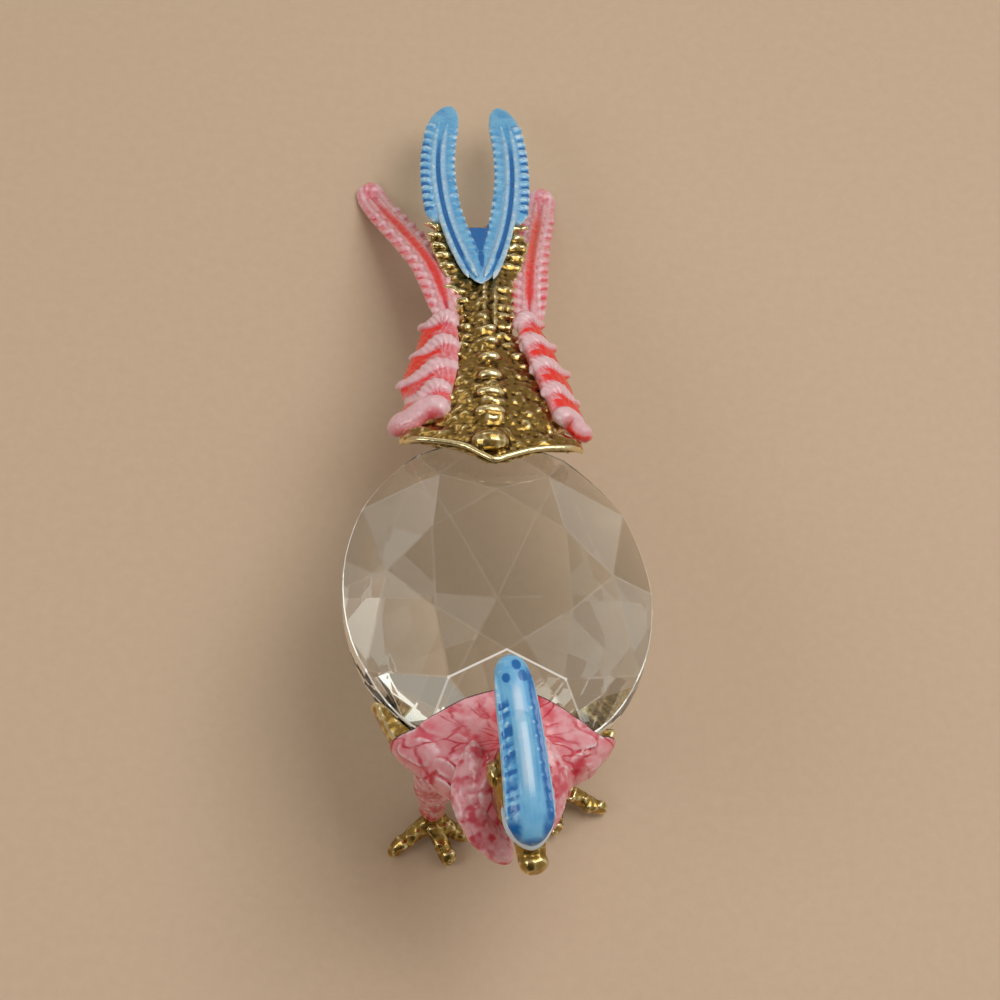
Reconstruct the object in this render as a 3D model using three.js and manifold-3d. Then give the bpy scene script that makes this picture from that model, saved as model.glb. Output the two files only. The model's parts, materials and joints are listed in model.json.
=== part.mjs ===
// Pheasant figurine: a faceted glass stone held between a cast breast and a cast tail, with enamelled
// feathers.
// Millimetres, +Z up. The bird looks along -Y and stands on Z = 0 on its toes and its side feathers.
// right and left are the bird's own sides, so right is -X.
import * as THREE from 'three';
import { mergeVertices } from 'three/addons/utils/BufferGeometryUtils.js';
import Module from 'manifold-3d';

const wasm = await Module();
wasm.setup();

// Fits
const fitGap = 0.3; // between pieces that touch
const glueThickness = 0.4;
const frontGlueHalfWidth = 5;
const rearGlueHalfWidth = 2.4;
const glueInset = 0.9; // from the edges of the cups
const enamelThickness = 0.7;

// Stance
const bodyHeight = 19; // middle of the stone over the floor
const bodyTilt = 12; // degrees, tail end down

// Stone
const stoneLength = 40;
const stoneWidth = 30;
const girdleHeight = 2.2;
const crownHeight = 3.6;
const pavilionDepth = 2.4;
const mainFacets = 6;
const tableShare = 0.5; // of the girdle's radius
const starShare = 0.73;
const lowerStarShare = 0.28;
const rimSteps = 5; // along each half facet of the girdle

// Tail casting: heights are over the middle of the girdle, places are behind the stone
const lipOverlap = 6.4; // tip of the upper lip over the stone
const lipDepth = 6.2; // from the corners of the lip to its tip
const lowerLipOverlap = 2.6;
const bellyTuck = 0.4; // share of the width lost under the eaves
const cupHalfWidth = 8.7;
const cupTop = 5;
const cupBottom = 4.2;
const cupBack = 2.4; // where the cup starts to narrow
const cupRoofDrop = 2.2; // from the spine to the eaves of the cup
const stemStart = 12; // where the cup has become the stem
const stemHalfWidth = 3.6;
const stemTop = 3.5;
const stemThickness = 2.2;
const stemRoofDrop = 0.8;
const combEnd = 30.5;
const combHalfWidth = 5.3;
const combTop = 1.1;
const combThickness = 1.4;
const barbPitch = 2;
const barbDepth = 1.4;
const barbSweep = 2.6; // of the last barbs towards the rear
const spineBeads = 10;
const beadPitch = 2.3;
const firstBeadWidth = 4.4;
const beadWidth = 3.3;
const beadTaper = 0.2; // lost by each bead after the first
const beadLength = 1.7;
const beadHeight = 0.75;

// Wings: flounces beside the tail casting
const flounces = 5;
const wingStart = 1; // middle of the first flounce behind the stone
const flouncePitch = 3;
const outerFlouncePitch = 3.5;
const rightWingInner = 4; // from the middle, at the first flounce
const leftWingInner = 5.4;
const wingInnerEnd = 2.9; // at the last flounce
const wingOuter = 9.9;
const wingOuterEnd = 6.5;
const wingInnerHeight = 4.9;
const wingInnerEndHeight = 3.6;
const wingOuterHeight = 1.2;
const flounceWidth = 3;
const flounceThickness = 2.6;
const wingWebWidth = 5; // of the sheet that joins the flounces
const wingWebEndWidth = 3;
const wingWebThickness = 1.6;
const wingSlope = 30; // degrees, of that sheet towards the side

// Feathers
const barbShare = 0.8; // width left between two barbs

// Side feathers, tips on the floor
const sideFeatherWidth = 3.2;
const sideFeatherThickness = 1.5;
const sideFeatherRoot = 13; // behind the stone
const sideFeatherRootHeight = 2.7;
const sideFeatherReach = 61.4; // of the tips behind the middle of the stone
const sideFeatherArch = 0.8;
const sideFeatherRest = 4; // length that levels out on the floor
const rightFeatherRoot = 3.1; // from the middle
const leftFeatherRoot = 4.3;
const rightFeatherSplay = 11.2;
const leftFeatherSplay = 8.5;
const sideFeatherBarbs = 13;

// Forked tail
const forkRoot = 20.6; // behind the stone
const forkLength = 29;
const forkSpread = 3.7; // of each quill from the middle
const forkTipSpread = 2.5;
const forkLean = 0.7; // of the tips towards the left
const forkFeatherWidth = 3.9;
const forkThickness = 1.5;
const forkBarbs = 14;
const webLength = 9;
const webThickness = 1;

// Breast: places are ahead of the stone's front end
const rimReach = 8.2; // of the bare rim along the stone
const rimHalfWidth = 12.6;
const rimTop = -0.4; // over the middle of the girdle
const cornerBack = 3.4;
const cornerHalfWidth = 10.5;
const shoulderAhead = 0.5;
const shoulderHalfWidth = 7.3;
const breastFront = 5.2;
const breastFrontHalfWidth = 2.6;
const breastEdge = -0.8; // height of its sharp side edge
const breastTop = 5.2; // at the corners
const breastBottom = 6.4;
const shoulderTop = 4.4;
const shoulderBottom = 5.8;
const breastFrontTop = 2.2;
const breastFrontBottom = 3.2;
const archOverlap = 5.7; // of the enamel over the stone
const archRadius = 14.7;

// Neck and head
const headRise = 10; // middle of the head over the middle of the stone
const headAhead = 4.6; // middle of the head ahead of the stone
const headOffset = 0.3;
const headTurn = 6; // degrees, towards the left
const headWidth = 5.4;
const headLength = 10;
const headDepth = 6.6;
const neckFootWidth = 8.4;
const neckTopWidth = 5.8;
const neckDepth = 6.4;
const eyeSpread = 2.3; // from the middle of the head
const eyeRise = 0.4;
const eyeLength = 3.2;
const eyeHeight = 2.4;
const eyeThickness = 1.7;
const beakReach = 2.4; // ahead of the head
const beakDrop = 1.9;
const beakWidth = 3;
const beakTipWidth = 1.1;
const crestLength = 17.4;
const crestWidth = 4.9;
const crestTailWidth = 2.7;
const crestThickness = 2.8;
const crestTailThickness = 2.1;
const crestHeight = 5.2; // of its rear end over the middle of the head
const crestFrontHeight = 2.2;
const crestBulge = 0.6;
const crestOverhang = 1.3; // ahead of the head
const napeWidth = 3.4; // of the strip under the crest
const napeDepth = 2.2;
const ruffWidth = 3.6;
const ruffThickness = 2.4;
const ruffSpread = 3.4; // from the middle of the head
const ruffBow = 0.7;
const ruffTipSpread = 2;
const ruffBack = 5.6; // behind the middle of the head
const ruffDrop = 1.7; // below the middle of the head
const ruffFall = 0.57; // of its tip, for each millimetre forward
const rightRuffLength = 9.4;
const leftRuffLength = 6.2;

// Legs and feet: ahead is from the stone's front end
const rightFoot = { x: -5.2, ahead: -4, turn: 9 };
const leftFoot = { x: 7.4, ahead: -7.6, turn: 8 };
const hipOut = 1.2; // of the hips over the ankles
const hipAhead = 0.8;
const ankleHeight = 2.3;
const ankleSize = 2.3;
const shankRadius = 0.75;
const thighFoot = 3.9; // lower end of the thigh over the floor
const thighRadius = 2.3;
const thighFootRadius = 1.25;
const thighTaper = 8; // length over which it widens
const toeRadius = 0.72;
const toeTipHeight = 0.4;
const toeLengths = [5.4, 4.6, 3.8, 2.4]; // outer, middle, inner, hind
const toeAngles = [-62, 14, 60, 180];

const degree = Math.PI / 180;
const rearEnd = stoneLength / 2;
const frontEnd = -stoneLength / 2;
const bodyPose = new THREE.Matrix4()
  .makeTranslation(0, 0, bodyHeight)
  .multiply(new THREE.Matrix4().makeRotationX(-bodyTilt * degree));
const upward = new THREE.Vector3(0, 0, 1);
const sides = { right: -1, left: 1 };
const mix = THREE.MathUtils.lerp;

// Solids
function solidOf(geometry) {
  const bare = geometry.clone();
  bare.deleteAttribute('normal');
  bare.deleteAttribute('uv');
  const merged = mergeVertices(bare, 1e-5);
  const vertProperties = new Float32Array(merged.attributes.position.array);
  const triVerts = new Uint32Array(merged.index.array);
  return new wasm.Manifold(new wasm.Mesh({ numProp: 3, vertProperties, triVerts }));
}

function geometryOf(solid) {
  const { vertProperties, triVerts } = solid.getMesh();
  const geometry = new THREE.BufferGeometry();
  geometry.setAttribute('position', new THREE.BufferAttribute(vertProperties, 3));
  geometry.setIndex(new THREE.BufferAttribute(triVerts, 1));
  geometry.computeVertexNormals();
  return geometry;
}

// A solid drawn along the body, tilted and lifted with it
function bodySolid(geometry) {
  return solidOf(geometry.clone().applyMatrix4(bodyPose));
}

function union(solids) {
  return solids.reduce((joined, solid) => joined.add(solid));
}

function without(solid, cutters) {
  return cutters.reduce((left, cutter) => left.subtract(cutter), solid);
}

function bodyPoint(x, y, z) {
  return new THREE.Vector3(x, y, z).applyMatrix4(bodyPose);
}

// Triangles as a geometry whose faces point outwards
function outwardGeometry(points, index) {
  let volume = 0;
  for (let i = 0; i < index.length; i += 3) {
    const [a, b, c] = [points[index[i]], points[index[i + 1]], points[index[i + 2]]];
    volume += a.dot(b.clone().cross(c));
  }
  const turned = volume < 0 ? index.slice().reverse() : index;
  const geometry = new THREE.BufferGeometry().setFromPoints(points);
  geometry.setIndex(turned);
  return geometry;
}

// Rings of equal count, joined one to the next and closed at both ends
function loft(rings) {
  const count = rings[0].length;
  const points = rings.flat();
  const index = [];
  for (let ring = 0; ring < rings.length - 1; ring += 1) {
    for (let k = 0; k < count; k += 1) {
      const a = ring * count + k;
      const b = ring * count + ((k + 1) % count);
      index.push(a, b, b + count, a, b + count, a + count);
    }
  }
  const lastRing = (rings.length - 1) * count;
  for (const [start, flip] of [[0, true], [lastRing, false]]) {
    const middle = new THREE.Vector3();
    const hub = points.length;
    for (let k = 0; k < count; k += 1) {
      const a = start + k;
      const b = start + ((k + 1) % count);
      middle.addScaledVector(points[a], 1 / count);
      index.push(...(flip ? [hub, b, a] : [hub, a, b]));
    }
    points.push(middle);
  }
  return outwardGeometry(points, index);
}

// A loft of sections along a curve. A section lists [sideways, upwards] pairs and may lean round the curve.
function loftAlong(curve, steps, sectionAt, lean = 0) {
  const rings = [];
  for (let step = 0; step <= steps; step += 1) {
    const t = step / steps;
    const along = curve.getTangent(t);
    const sideways = along.clone().cross(upward).normalize().applyAxisAngle(along, lean * degree);
    const rise = sideways.clone().cross(along);
    const place = ([s, r]) => curve.getPoint(t).addScaledVector(sideways, s).addScaledVector(rise, r);
    rings.push(sectionAt(t, step).map(place));
  }
  return loft(rings);
}

function ovalSection(width, height, count) {
  return Array.from({ length: count }, (_, k) => {
    const angle = (2 * Math.PI * k) / count;
    return [(width / 2) * Math.cos(angle), (height / 2) * Math.sin(angle)];
  });
}

function ellipsoid(centre, sizes, wide, high) {
  const [x, y, z] = sizes.map((size) => size / 2);
  return new THREE.SphereGeometry(1, wide, high).rotateX(Math.PI / 2).scale(x, y, z).translate(...centre);
}

function box(from, to) {
  const size = to.map((end, axis) => end - from[axis]);
  const middle = to.map((end, axis) => (end + from[axis]) / 2);
  return new THREE.BoxGeometry(...size).translate(...middle);
}

// Swells from a pointed or rounded start to full size and closes again at the end
function swell(t, start, end) {
  const opening = Math.min(1, t / start);
  const closing = Math.min(1, (1 - t) / end);
  return Math.max(0.12, Math.sqrt(opening * (2 - opening) * closing * (2 - closing)));
}

// Stone: an oval brilliant with a round girdle. grow lets the castings seat round it.
function stoneGeometry(grow = 0) {
  const halfWidth = stoneWidth / 2 + grow;
  const halfLength = stoneLength / 2 + grow;
  const halfGirdle = girdleHeight / 2 + grow;
  const step = Math.PI / mainFacets;
  const points = [];
  const index = [];
  const place = (share, turn, z) => {
    const x = halfWidth * share * Math.sin(turn);
    const y = -halfLength * share * Math.cos(turn);
    points.push(new THREE.Vector3(x, y, z));
    return points.length - 1;
  };
  // Each half has flat facets: a table or tip, stars, mains, and two fans to the girdle for each main
  const half = (flatShare, height, starAt, facing) => {
    const flat = [];
    const stars = [];
    const rim = [];
    const starHeight = (height * (1 - starAt * Math.cos(step))) / (1 - flatShare);
    const chord = Math.cos(step / 2);
    const slope = starHeight / (chord - starAt * chord);
    for (let k = 0; k < mainFacets; k += 1) {
      flat.push(place(flatShare, 2 * k * step, facing * (halfGirdle + height)));
      stars.push(place(starAt, (2 * k + 1) * step, facing * (halfGirdle + starHeight)));
    }
    for (let k = 0; k < 2 * mainFacets * rimSteps; k += 1) {
      const fromMiddle = ((k % rimSteps) / rimSteps - 0.5) * step;
      const fall = slope * (Math.cos(fromMiddle) - chord);
      rim.push(place(1, (k * step) / rimSteps, facing * (halfGirdle - fall)));
    }
    const face = (a, b, c) => index.push(...(facing > 0 ? [a, b, c] : [a, c, b]));
    const hub = place(0, 0, facing * (halfGirdle + height));
    for (let k = 0; k < mainFacets; k += 1) {
      const next = (k + 1) % mainFacets;
      const main = 2 * k * rimSteps;
      const nextMain = 2 * next * rimSteps;
      if (flatShare > 0) {
        face(hub, flat[k], flat[next]);
        face(flat[k], stars[k], flat[next]);
      }
      face(flat[k], rim[main], stars[k]);
      face(flat[next], stars[k], rim[nextMain]);
      for (let n = 0; n < 2 * rimSteps; n += 1) {
        face(stars[k], rim[main + n], rim[(main + n + 1) % rim.length]);
      }
    }
    return rim;
  };
  const upper = half(tableShare, crownHeight, starShare, 1);
  const lower = half(0, pavilionDepth, lowerStarShare, -1);
  upper.forEach((a, k) => {
    const next = (k + 1) % upper.length;
    index.push(a, lower[k], lower[next], a, lower[next], upper[next]);
  });
  const geometry = outwardGeometry(points, index);
  return mergeVertices(geometry, 1e-5);
}

const stone = bodySolid(stoneGeometry());
const stoneSeat = bodySolid(stoneGeometry(fitGap));

// Glue beds between the stone and its cups. The pocket is the room that a bed takes in its cup.
function glueRegion(side, grow) {
  const inner = side > 0 ? rearEnd - lowerLipOverlap + glueInset : frontEnd + rimReach - glueInset;
  const outer = side * stoneLength;
  const halfWidth = (side > 0 ? rearGlueHalfWidth : frontGlueHalfWidth) + grow;
  const from = [-halfWidth, Math.min(inner, outer) - grow, -bodyHeight];
  const to = [halfWidth, Math.max(inner, outer) + grow, -girdleHeight / 2 + grow];
  return bodySolid(box(from, to));
}

function glueBed(side) {
  const filled = bodySolid(stoneGeometry(fitGap + glueThickness));
  return filled.subtract(stoneSeat).intersect(glueRegion(side, 0));
}

function gluePocket(side) {
  return bodySolid(stoneGeometry(2 * fitGap + glueThickness)).intersect(glueRegion(side, fitGap));
}

// A smooth curve through a few pairs of [place, value], read at any place between them
function profile(pairs) {
  const curve = new THREE.SplineCurve(pairs.map(([place, value]) => new THREE.Vector2(place, value)));
  return (place) => {
    let low = 0;
    let high = 1;
    for (let n = 0; n < 24; n += 1) {
      const half = (low + high) / 2;
      if (curve.getPoint(half).x < place) low = half;
      else high = half;
    }
    return curve.getPoint(low).y;
  };
}

// Tail casting: a cup round the end of the stone that narrows to a stem and spreads into combed barbs
const tailHalfWidth = profile([
  [-lipOverlap, cupHalfWidth],
  [cupBack, cupHalfWidth],
  [stemStart, stemHalfWidth],
  [(stemStart + combEnd) / 2, stemHalfWidth],
  [combEnd, combHalfWidth],
]);
const tailTop = profile([[-lipOverlap, cupTop], [cupBack, cupTop], [stemStart, stemTop], [combEnd, combTop]]);
const tailSides = 16; // a multiple of four, so that the lip has a tip

function tailRing(along, notch, grow) {
  const toStem = THREE.MathUtils.smoothstep(along, cupBack, stemStart);
  const toComb = THREE.MathUtils.smoothstep(along, stemStart, combEnd);
  const toLip = 1 - THREE.MathUtils.smoothstep(along, -lipOverlap, cupBack);
  const halfWidth = tailHalfWidth(along) - notch + grow;
  const eaves = tailTop(along) - mix(cupRoofDrop, stemRoofDrop, toStem);
  const stemBottom = tailTop(along) - mix(stemThickness, combThickness, toComb);
  const bottom = mix(-cupBottom, stemBottom, toStem) - grow;
  return Array.from({ length: tailSides }, (_, k) => {
    const angle = (2 * Math.PI * k) / tailSides;
    const [across, up] = [Math.abs(Math.cos(angle)), Math.sin(angle)];
    const z = up > 0 ? mix(eaves, tailTop(along) + grow, up * up) : mix(eaves, bottom, -up);
    const lowerSetback = lipOverlap - lowerLipOverlap;
    const setback = up > 0 ? lipDepth * across : mix(lowerSetback, lipDepth, across);
    const y = along + setback * toLip + barbSweep * toComb * across * across;
    const tuck = up < 0 ? bellyTuck * (1 - toStem) * Math.sqrt(-up) : 0;
    return new THREE.Vector3(halfWidth * (1 - tuck) * Math.cos(angle), rearEnd + y, z);
  });
}

function tailCasting(grow) {
  const rings = [];
  const cupSteps = 8;
  for (let step = 0; step < cupSteps; step += 1) {
    rings.push(tailRing(mix(-lipOverlap, stemStart, step / cupSteps), 0, grow));
  }
  const barbSteps = Math.round((2 * (combEnd - stemStart)) / barbPitch);
  for (let step = 0; step <= barbSteps; step += 1) {
    const t = step / barbSteps;
    rings.push(tailRing(mix(stemStart, combEnd, t), step % 2 === 0 ? 0 : barbDepth * t, grow));
  }
  const beads = [];
  for (let n = 0; n < spineBeads; n += 1) {
    const along = beadPitch * n - lipOverlap / 2;
    const width = n === 0 ? firstBeadWidth : beadWidth - beadTaper * n;
    const sizes = [width, beadLength, 2 * beadHeight].map((size) => size + 2 * grow);
    beads.push(bodySolid(ellipsoid([0, rearEnd + along, tailTop(along)], sizes, 8, 6)));
  }
  return union([bodySolid(loft(rings)), ...beads]);
}

const tailCut = tailCasting(fitGap);
const tail = without(tailCasting(0), [stoneSeat, gluePocket(1)]);

// Wings: rolled flounces that overlap from the stone towards the side feather
function wing(side, inside, grow) {
  const rolls = [];
  const middles = [];
  for (let n = 0; n < flounces; n += 1) {
    const t = n / (flounces - 1);
    const innerHeight = mix(wingInnerHeight, wingInnerEndHeight, t);
    const innerY = rearEnd + wingStart + flouncePitch * n;
    const outerY = rearEnd + wingStart + outerFlouncePitch * n;
    const inner = bodyPoint(side * mix(inside, wingInnerEnd, t), innerY, innerHeight);
    const outer = bodyPoint(side * mix(wingOuter, wingOuterEnd, t), outerY, wingOuterHeight);
    const section = (s) => {
      const full = swell(s, 0.35, 0.25);
      return ovalSection(flounceWidth * full + 2 * grow, flounceThickness * full + 2 * grow, 8);
    };
    rolls.push(solidOf(loftAlong(new THREE.LineCurve3(inner, outer), 5, section)));
    middles.push(inner.lerp(outer, 0.5));
  }
  const web = (t) => {
    const width = mix(wingWebWidth, wingWebEndWidth, t);
    return ovalSection(width + 2 * grow, wingWebThickness + 2 * grow, 6);
  };
  rolls.push(solidOf(loftAlong(new THREE.CatmullRomCurve3(middles), 5, web, side * wingSlope)));
  return union(rolls);
}

const wingInners = { right: rightWingInner, left: leftWingInner };
const wings = {};
const wingCuts = {};
for (const [name, side] of Object.entries(sides)) {
  wingCuts[name] = wing(side, wingInners[name], fitGap);
  wings[name] = without(wing(side, wingInners[name], 0), [tailCut, stoneSeat]);
}

// A feather: a lens section with a raised quill and barbs along both edges
function feather(curve, width, thickness, barbs, start, end) {
  const steps = 2 * barbs;
  return solidOf(
    loftAlong(curve, steps, (t, step) => {
      const half = (width / 2) * swell(t, start, end) * (step % 2 === 0 ? 1 : barbShare);
      const rise = (thickness / 2) * Math.max(0.5, swell(t, 0.1, 0.1));
      return [
        [half, 0],
        [half * 0.4, rise * 0.6],
        [0, rise],
        [-half * 0.4, rise * 0.6],
        [-half, 0],
        [-half * 0.5, -rise],
        [half * 0.5, -rise],
      ];
    }),
  );
}

// The floor cuts a flat rest under whatever stands on it
const floorReach = 200;
const floor = solidOf(box([-floorReach, -floorReach, -floorReach], [floorReach, floorReach, 0]));

function sideFeather(side, rootSpread, splay) {
  const root = bodyPoint(side * rootSpread, rearEnd + sideFeatherRoot, sideFeatherRootHeight);
  const tip = new THREE.Vector3(side * splay, sideFeatherReach, sideFeatherThickness * 0.2);
  const bend = root.clone().lerp(tip, 0.4);
  bend.x = side * mix(rootSpread, splay, 0.22);
  bend.z += sideFeatherArch;
  const landing = tip.clone().lerp(bend, sideFeatherRest / tip.distanceTo(bend));
  landing.z = sideFeatherThickness * 0.6;
  const curve = new THREE.CatmullRomCurve3([root, bend, landing, tip]);
  return feather(curve, sideFeatherWidth, sideFeatherThickness, sideFeatherBarbs, 0.12, 0.12);
}

const sideFeathers = {
  right: without(sideFeather(-1, rightFeatherRoot, rightFeatherSplay), [wingCuts.right, tailCut, floor]),
  left: without(sideFeather(1, leftFeatherRoot, leftFeatherSplay), [wingCuts.left, tailCut, floor]),
};

// Forked tail: two curved feathers that meet in a web over the combed barbs
function forkFeather(side) {
  const lift = forkThickness / 2 + fitGap;
  const at = (share, spread) => {
    const along = forkRoot + forkLength * share;
    const height = tailTop(Math.min(along, combEnd)) + lift * (1 - 0.5 * share);
    return bodyPoint(side * spread + forkLean * share, rearEnd + along, height);
  };
  const curve = new THREE.CatmullRomCurve3([
    at(0, 0.7),
    at(0.3, forkSpread * 0.76),
    at(0.62, forkSpread),
    at(0.85, mix(forkSpread, forkTipSpread, 0.4)),
    at(1, forkTipSpread),
  ]);
  return feather(curve, forkFeatherWidth, forkThickness, forkBarbs, 0.35, 0.12);
}

function forkWeb() {
  const along = forkRoot + webLength / 2 + 0.6;
  const middle = [0, rearEnd + along, tailTop(along) + fitGap];
  return bodySolid(ellipsoid(middle, [forkSpread, webLength, webThickness], 12, 8));
}

const fork = without(union([forkFeather(-1), forkFeather(1), forkWeb()]), [tailCut]);

// Breast: a gold cup with a bare rim along the girdle, under a coat of enamel ahead of the arch
const breastHalfWidth = profile([
  [-rimReach, rimHalfWidth],
  [-cornerBack, cornerHalfWidth],
  [shoulderAhead, shoulderHalfWidth],
  [breastFront, breastFrontHalfWidth],
]);
const breastUpper = profile([
  [-rimReach, breastTop],
  [-cornerBack, breastTop],
  [shoulderAhead, shoulderTop],
  [breastFront, breastFrontTop],
]);
const breastLower = profile([
  [-rimReach, -breastBottom],
  [-cornerBack, -breastBottom],
  [shoulderAhead, -shoulderBottom],
  [breastFront, -breastFrontBottom],
]);
const breastSides = 18;
const breastSteps = 8;

function breastBody(grow) {
  const rings = [];
  for (let step = 0; step <= breastSteps; step += 1) {
    const ahead = mix(-rimReach, breastFront, step / breastSteps);
    const halfWidth = breastHalfWidth(ahead) + grow;
    const ring = Array.from({ length: breastSides }, (_, k) => {
      const angle = (2 * Math.PI * k) / breastSides;
      const up = Math.sin(angle);
      const end = up > 0 ? breastUpper(ahead) + grow : breastLower(ahead) - grow;
      const forward = step === breastSteps ? grow : 0;
      const y = frontEnd - ahead - forward;
      return new THREE.Vector3(halfWidth * Math.cos(angle), y, mix(breastEdge, end, Math.abs(up)));
    });
    rings.push(ring);
  }
  return bodySolid(loft(rings));
}

// Everything ahead of the arch that the enamel draws over the stone
function archRegion(setBack) {
  const arc = new THREE.Shape();
  const tip = frontEnd + archOverlap + setBack;
  arc.absarc(0, tip - archRadius, archRadius, 0, Math.PI, false);
  arc.lineTo(-archRadius, tip - archRadius - stoneLength);
  arc.lineTo(archRadius, tip - archRadius - stoneLength);
  const upright = { depth: 2 * stoneLength, bevelEnabled: false, curveSegments: 16 };
  return bodySolid(new THREE.ExtrudeGeometry(arc, upright).translate(0, 0, -stoneLength));
}

// Head, in its own turned frame over the neck
const headPose = new THREE.Matrix4()
  .makeTranslation(headOffset, frontEnd - headAhead, bodyHeight + headRise)
  .multiply(new THREE.Matrix4().makeRotationZ(headTurn * degree));

function headPoint(x, y, z) {
  return new THREE.Vector3(x, y, z).applyMatrix4(headPose);
}

function headSolid(geometry) {
  return solidOf(geometry.clone().applyMatrix4(headPose));
}

// Middle line of the crest, which the strip under it follows
function crestCurve(drop) {
  const front = -headLength / 2 - crestOverhang;
  return new THREE.QuadraticBezierCurve3(
    headPoint(0, front, crestFrontHeight - drop),
    headPoint(0, front + crestLength * 0.3, crestHeight + crestBulge - drop),
    headPoint(0, front + crestLength, crestHeight - drop),
  );
}

function head(grow) {
  const skullSizes = [headWidth, headLength, headDepth].map((size) => size + 2 * grow);
  const skull = headSolid(ellipsoid([0, 0, 0], skullSizes, 18, 10));
  const eyeSizes = [eyeThickness, eyeLength, eyeHeight].map((size) => size + 2 * grow);
  const eye = (side) => headSolid(ellipsoid([side * eyeSpread, 0, eyeRise], eyeSizes, 10, 8));
  const front = headLength / 2;
  const beakCurve = new THREE.QuadraticBezierCurve3(
    headPoint(0, -front * 0.7, 0),
    headPoint(0, -front - beakReach * 0.6, 0),
    headPoint(0, -front - beakReach, -beakDrop),
  );
  const section = (t) => {
    const size = mix(beakWidth, beakTipWidth, t * t) + 2 * grow;
    return ovalSection(size, size, 10);
  };
  const nape = (t) => ovalSection(napeWidth * swell(t, 0.3, 0.3) + 2 * grow, napeDepth + 2 * grow, 10);
  const strip = solidOf(loftAlong(crestCurve(crestThickness / 2), 8, nape));
  const beak = solidOf(loftAlong(beakCurve, 6, section));
  return union([skull, eye(sides.right), eye(sides.left), strip, beak]);
}

function neck(grow) {
  const foot = bodyPoint(0, frontEnd - shoulderAhead, 0);
  const top = headPoint(0, 0, -headDepth / 4);
  const section = (t) => {
    const width = mix(neckFootWidth, neckTopWidth, t);
    return ovalSection(width + 2 * grow, neckDepth + 2 * grow, 18);
  };
  return solidOf(loftAlong(new THREE.LineCurve3(foot, top), 4, section));
}

function crest() {
  const section = (t) => {
    const full = swell(t, 0.25, 0.1);
    const width = mix(crestWidth, crestTailWidth, t);
    const height = mix(crestThickness, crestTailThickness, t);
    return ovalSection(width * full, height * full, 14);
  };
  return solidOf(loftAlong(crestCurve(0), 16, section));
}

// Cape lobes that hang from the sides of the neck towards the front
function ruff(side, length) {
  const curve = new THREE.CatmullRomCurve3([
    headPoint(side * ruffSpread, ruffBack, -ruffDrop),
    headPoint(side * (ruffSpread + ruffBow), ruffBack - 0.4 * length, -ruffDrop - 0.2 * ruffFall * length),
    headPoint(side * ruffSpread, ruffBack - 0.7 * length, -ruffDrop - 0.55 * ruffFall * length),
    headPoint(side * ruffTipSpread, ruffBack - length, -ruffDrop - ruffFall * length),
  ]);
  const section = (t) => {
    const full = swell(t, 0.35, 0.25);
    return ovalSection(ruffWidth * full, ruffThickness * full, 12);
  };
  return solidOf(loftAlong(curve, 12, section));
}

const coat = fitGap + enamelThickness;
const headCut = head(fitGap);
const breastOuter = breastBody(0);
const breastInner = union([breastBody(-coat), neck(-coat)]);
const breastInnerCut = union([breastBody(fitGap - coat), neck(fitGap - coat)]);
const breastCut = union([breastBody(fitGap), neck(fitGap)]);
const below = bodySolid(box([-stoneWidth, -stoneLength, -bodyHeight], [stoneWidth, stoneLength, rimTop]));
const bareRim = breastOuter.subtract(archRegion(fitGap)).intersect(below);
const covered = breastInner.intersect(archRegion(-fitGap));
const joined = breastBody(-coat).intersect(below);
const breastCup = without(union([covered, joined, bareRim]), [stoneSeat, gluePocket(-1), headCut]);
const breastShell = union([breastOuter, neck(0)]).intersect(archRegion(0));
const breastCoat = without(breastShell, [breastInnerCut, stoneSeat, headCut]);
const headCasting = head(0);
const crestSolid = without(crest(), [headCut]);
const ruffs = {
  right: without(ruff(-1, rightRuffLength), [headCut, breastCut]),
  left: without(ruff(1, leftRuffLength), [headCut, breastCut]),
};

// Legs: a shank through an enamelled thigh, and four toes cut flat by the floor
function anklePoint(foot) {
  return new THREE.Vector3(foot.x, frontEnd - foot.ahead, ankleHeight);
}

function legCurve(foot) {
  const hip = anklePoint(foot).add(new THREE.Vector3(Math.sign(foot.x) * hipOut, -hipAhead, 0));
  hip.z = bodyHeight;
  return new THREE.LineCurve3(anklePoint(foot), hip);
}

function shank(foot, grow) {
  const size = 2 * (shankRadius + grow);
  return solidOf(loftAlong(legCurve(foot), 2, () => ovalSection(size, size, 10)));
}

function toe(foot, angle, length) {
  const heading = angle * degree;
  const ankle = anklePoint(foot);
  const tip = new THREE.Vector3(length * Math.sin(heading), -length * Math.cos(heading), 0).add(ankle);
  tip.z = toeTipHeight;
  const knuckle = ankle.clone().lerp(tip, 0.5);
  knuckle.z = toeRadius;
  const section = (t) => {
    const size = 2 * toeRadius * mix(1.15, 1, t) * swell(t, 0.01, 0.2);
    return ovalSection(size, size, 8);
  };
  return solidOf(loftAlong(new THREE.QuadraticBezierCurve3(ankle, knuckle, tip), 6, section));
}

function thigh(foot) {
  const leg = legCurve(foot);
  const at = (height) => leg.getPoint((height - ankleHeight) / (bodyHeight - ankleHeight));
  const upper = new THREE.LineCurve3(at(thighFoot), at(bodyHeight));
  const section = (t) => {
    const widened = Math.min(1, (t * (bodyHeight - thighFoot)) / thighTaper);
    const size = 2 * mix(thighFootRadius, thighRadius, widened);
    return ovalSection(size, size, 12);
  };
  return solidOf(loftAlong(upper, 4, section));
}

const legTops = [breastBody(fitGap), stoneSeat];

function leg(foot, side) {
  const toes = toeAngles.map((angle, n) => toe(foot, -side * angle + foot.turn, toeLengths[n]));
  const knob = solidOf(ellipsoid(anklePoint(foot).toArray(), [ankleSize, ankleSize, ankleSize], 8, 6));
  return without(union([shank(foot, 0), knob, ...toes]), [floor, ...legTops]);
}

function thighCoat(foot) {
  return without(thigh(foot), [shank(foot, fitGap), ...legTops]);
}

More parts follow.
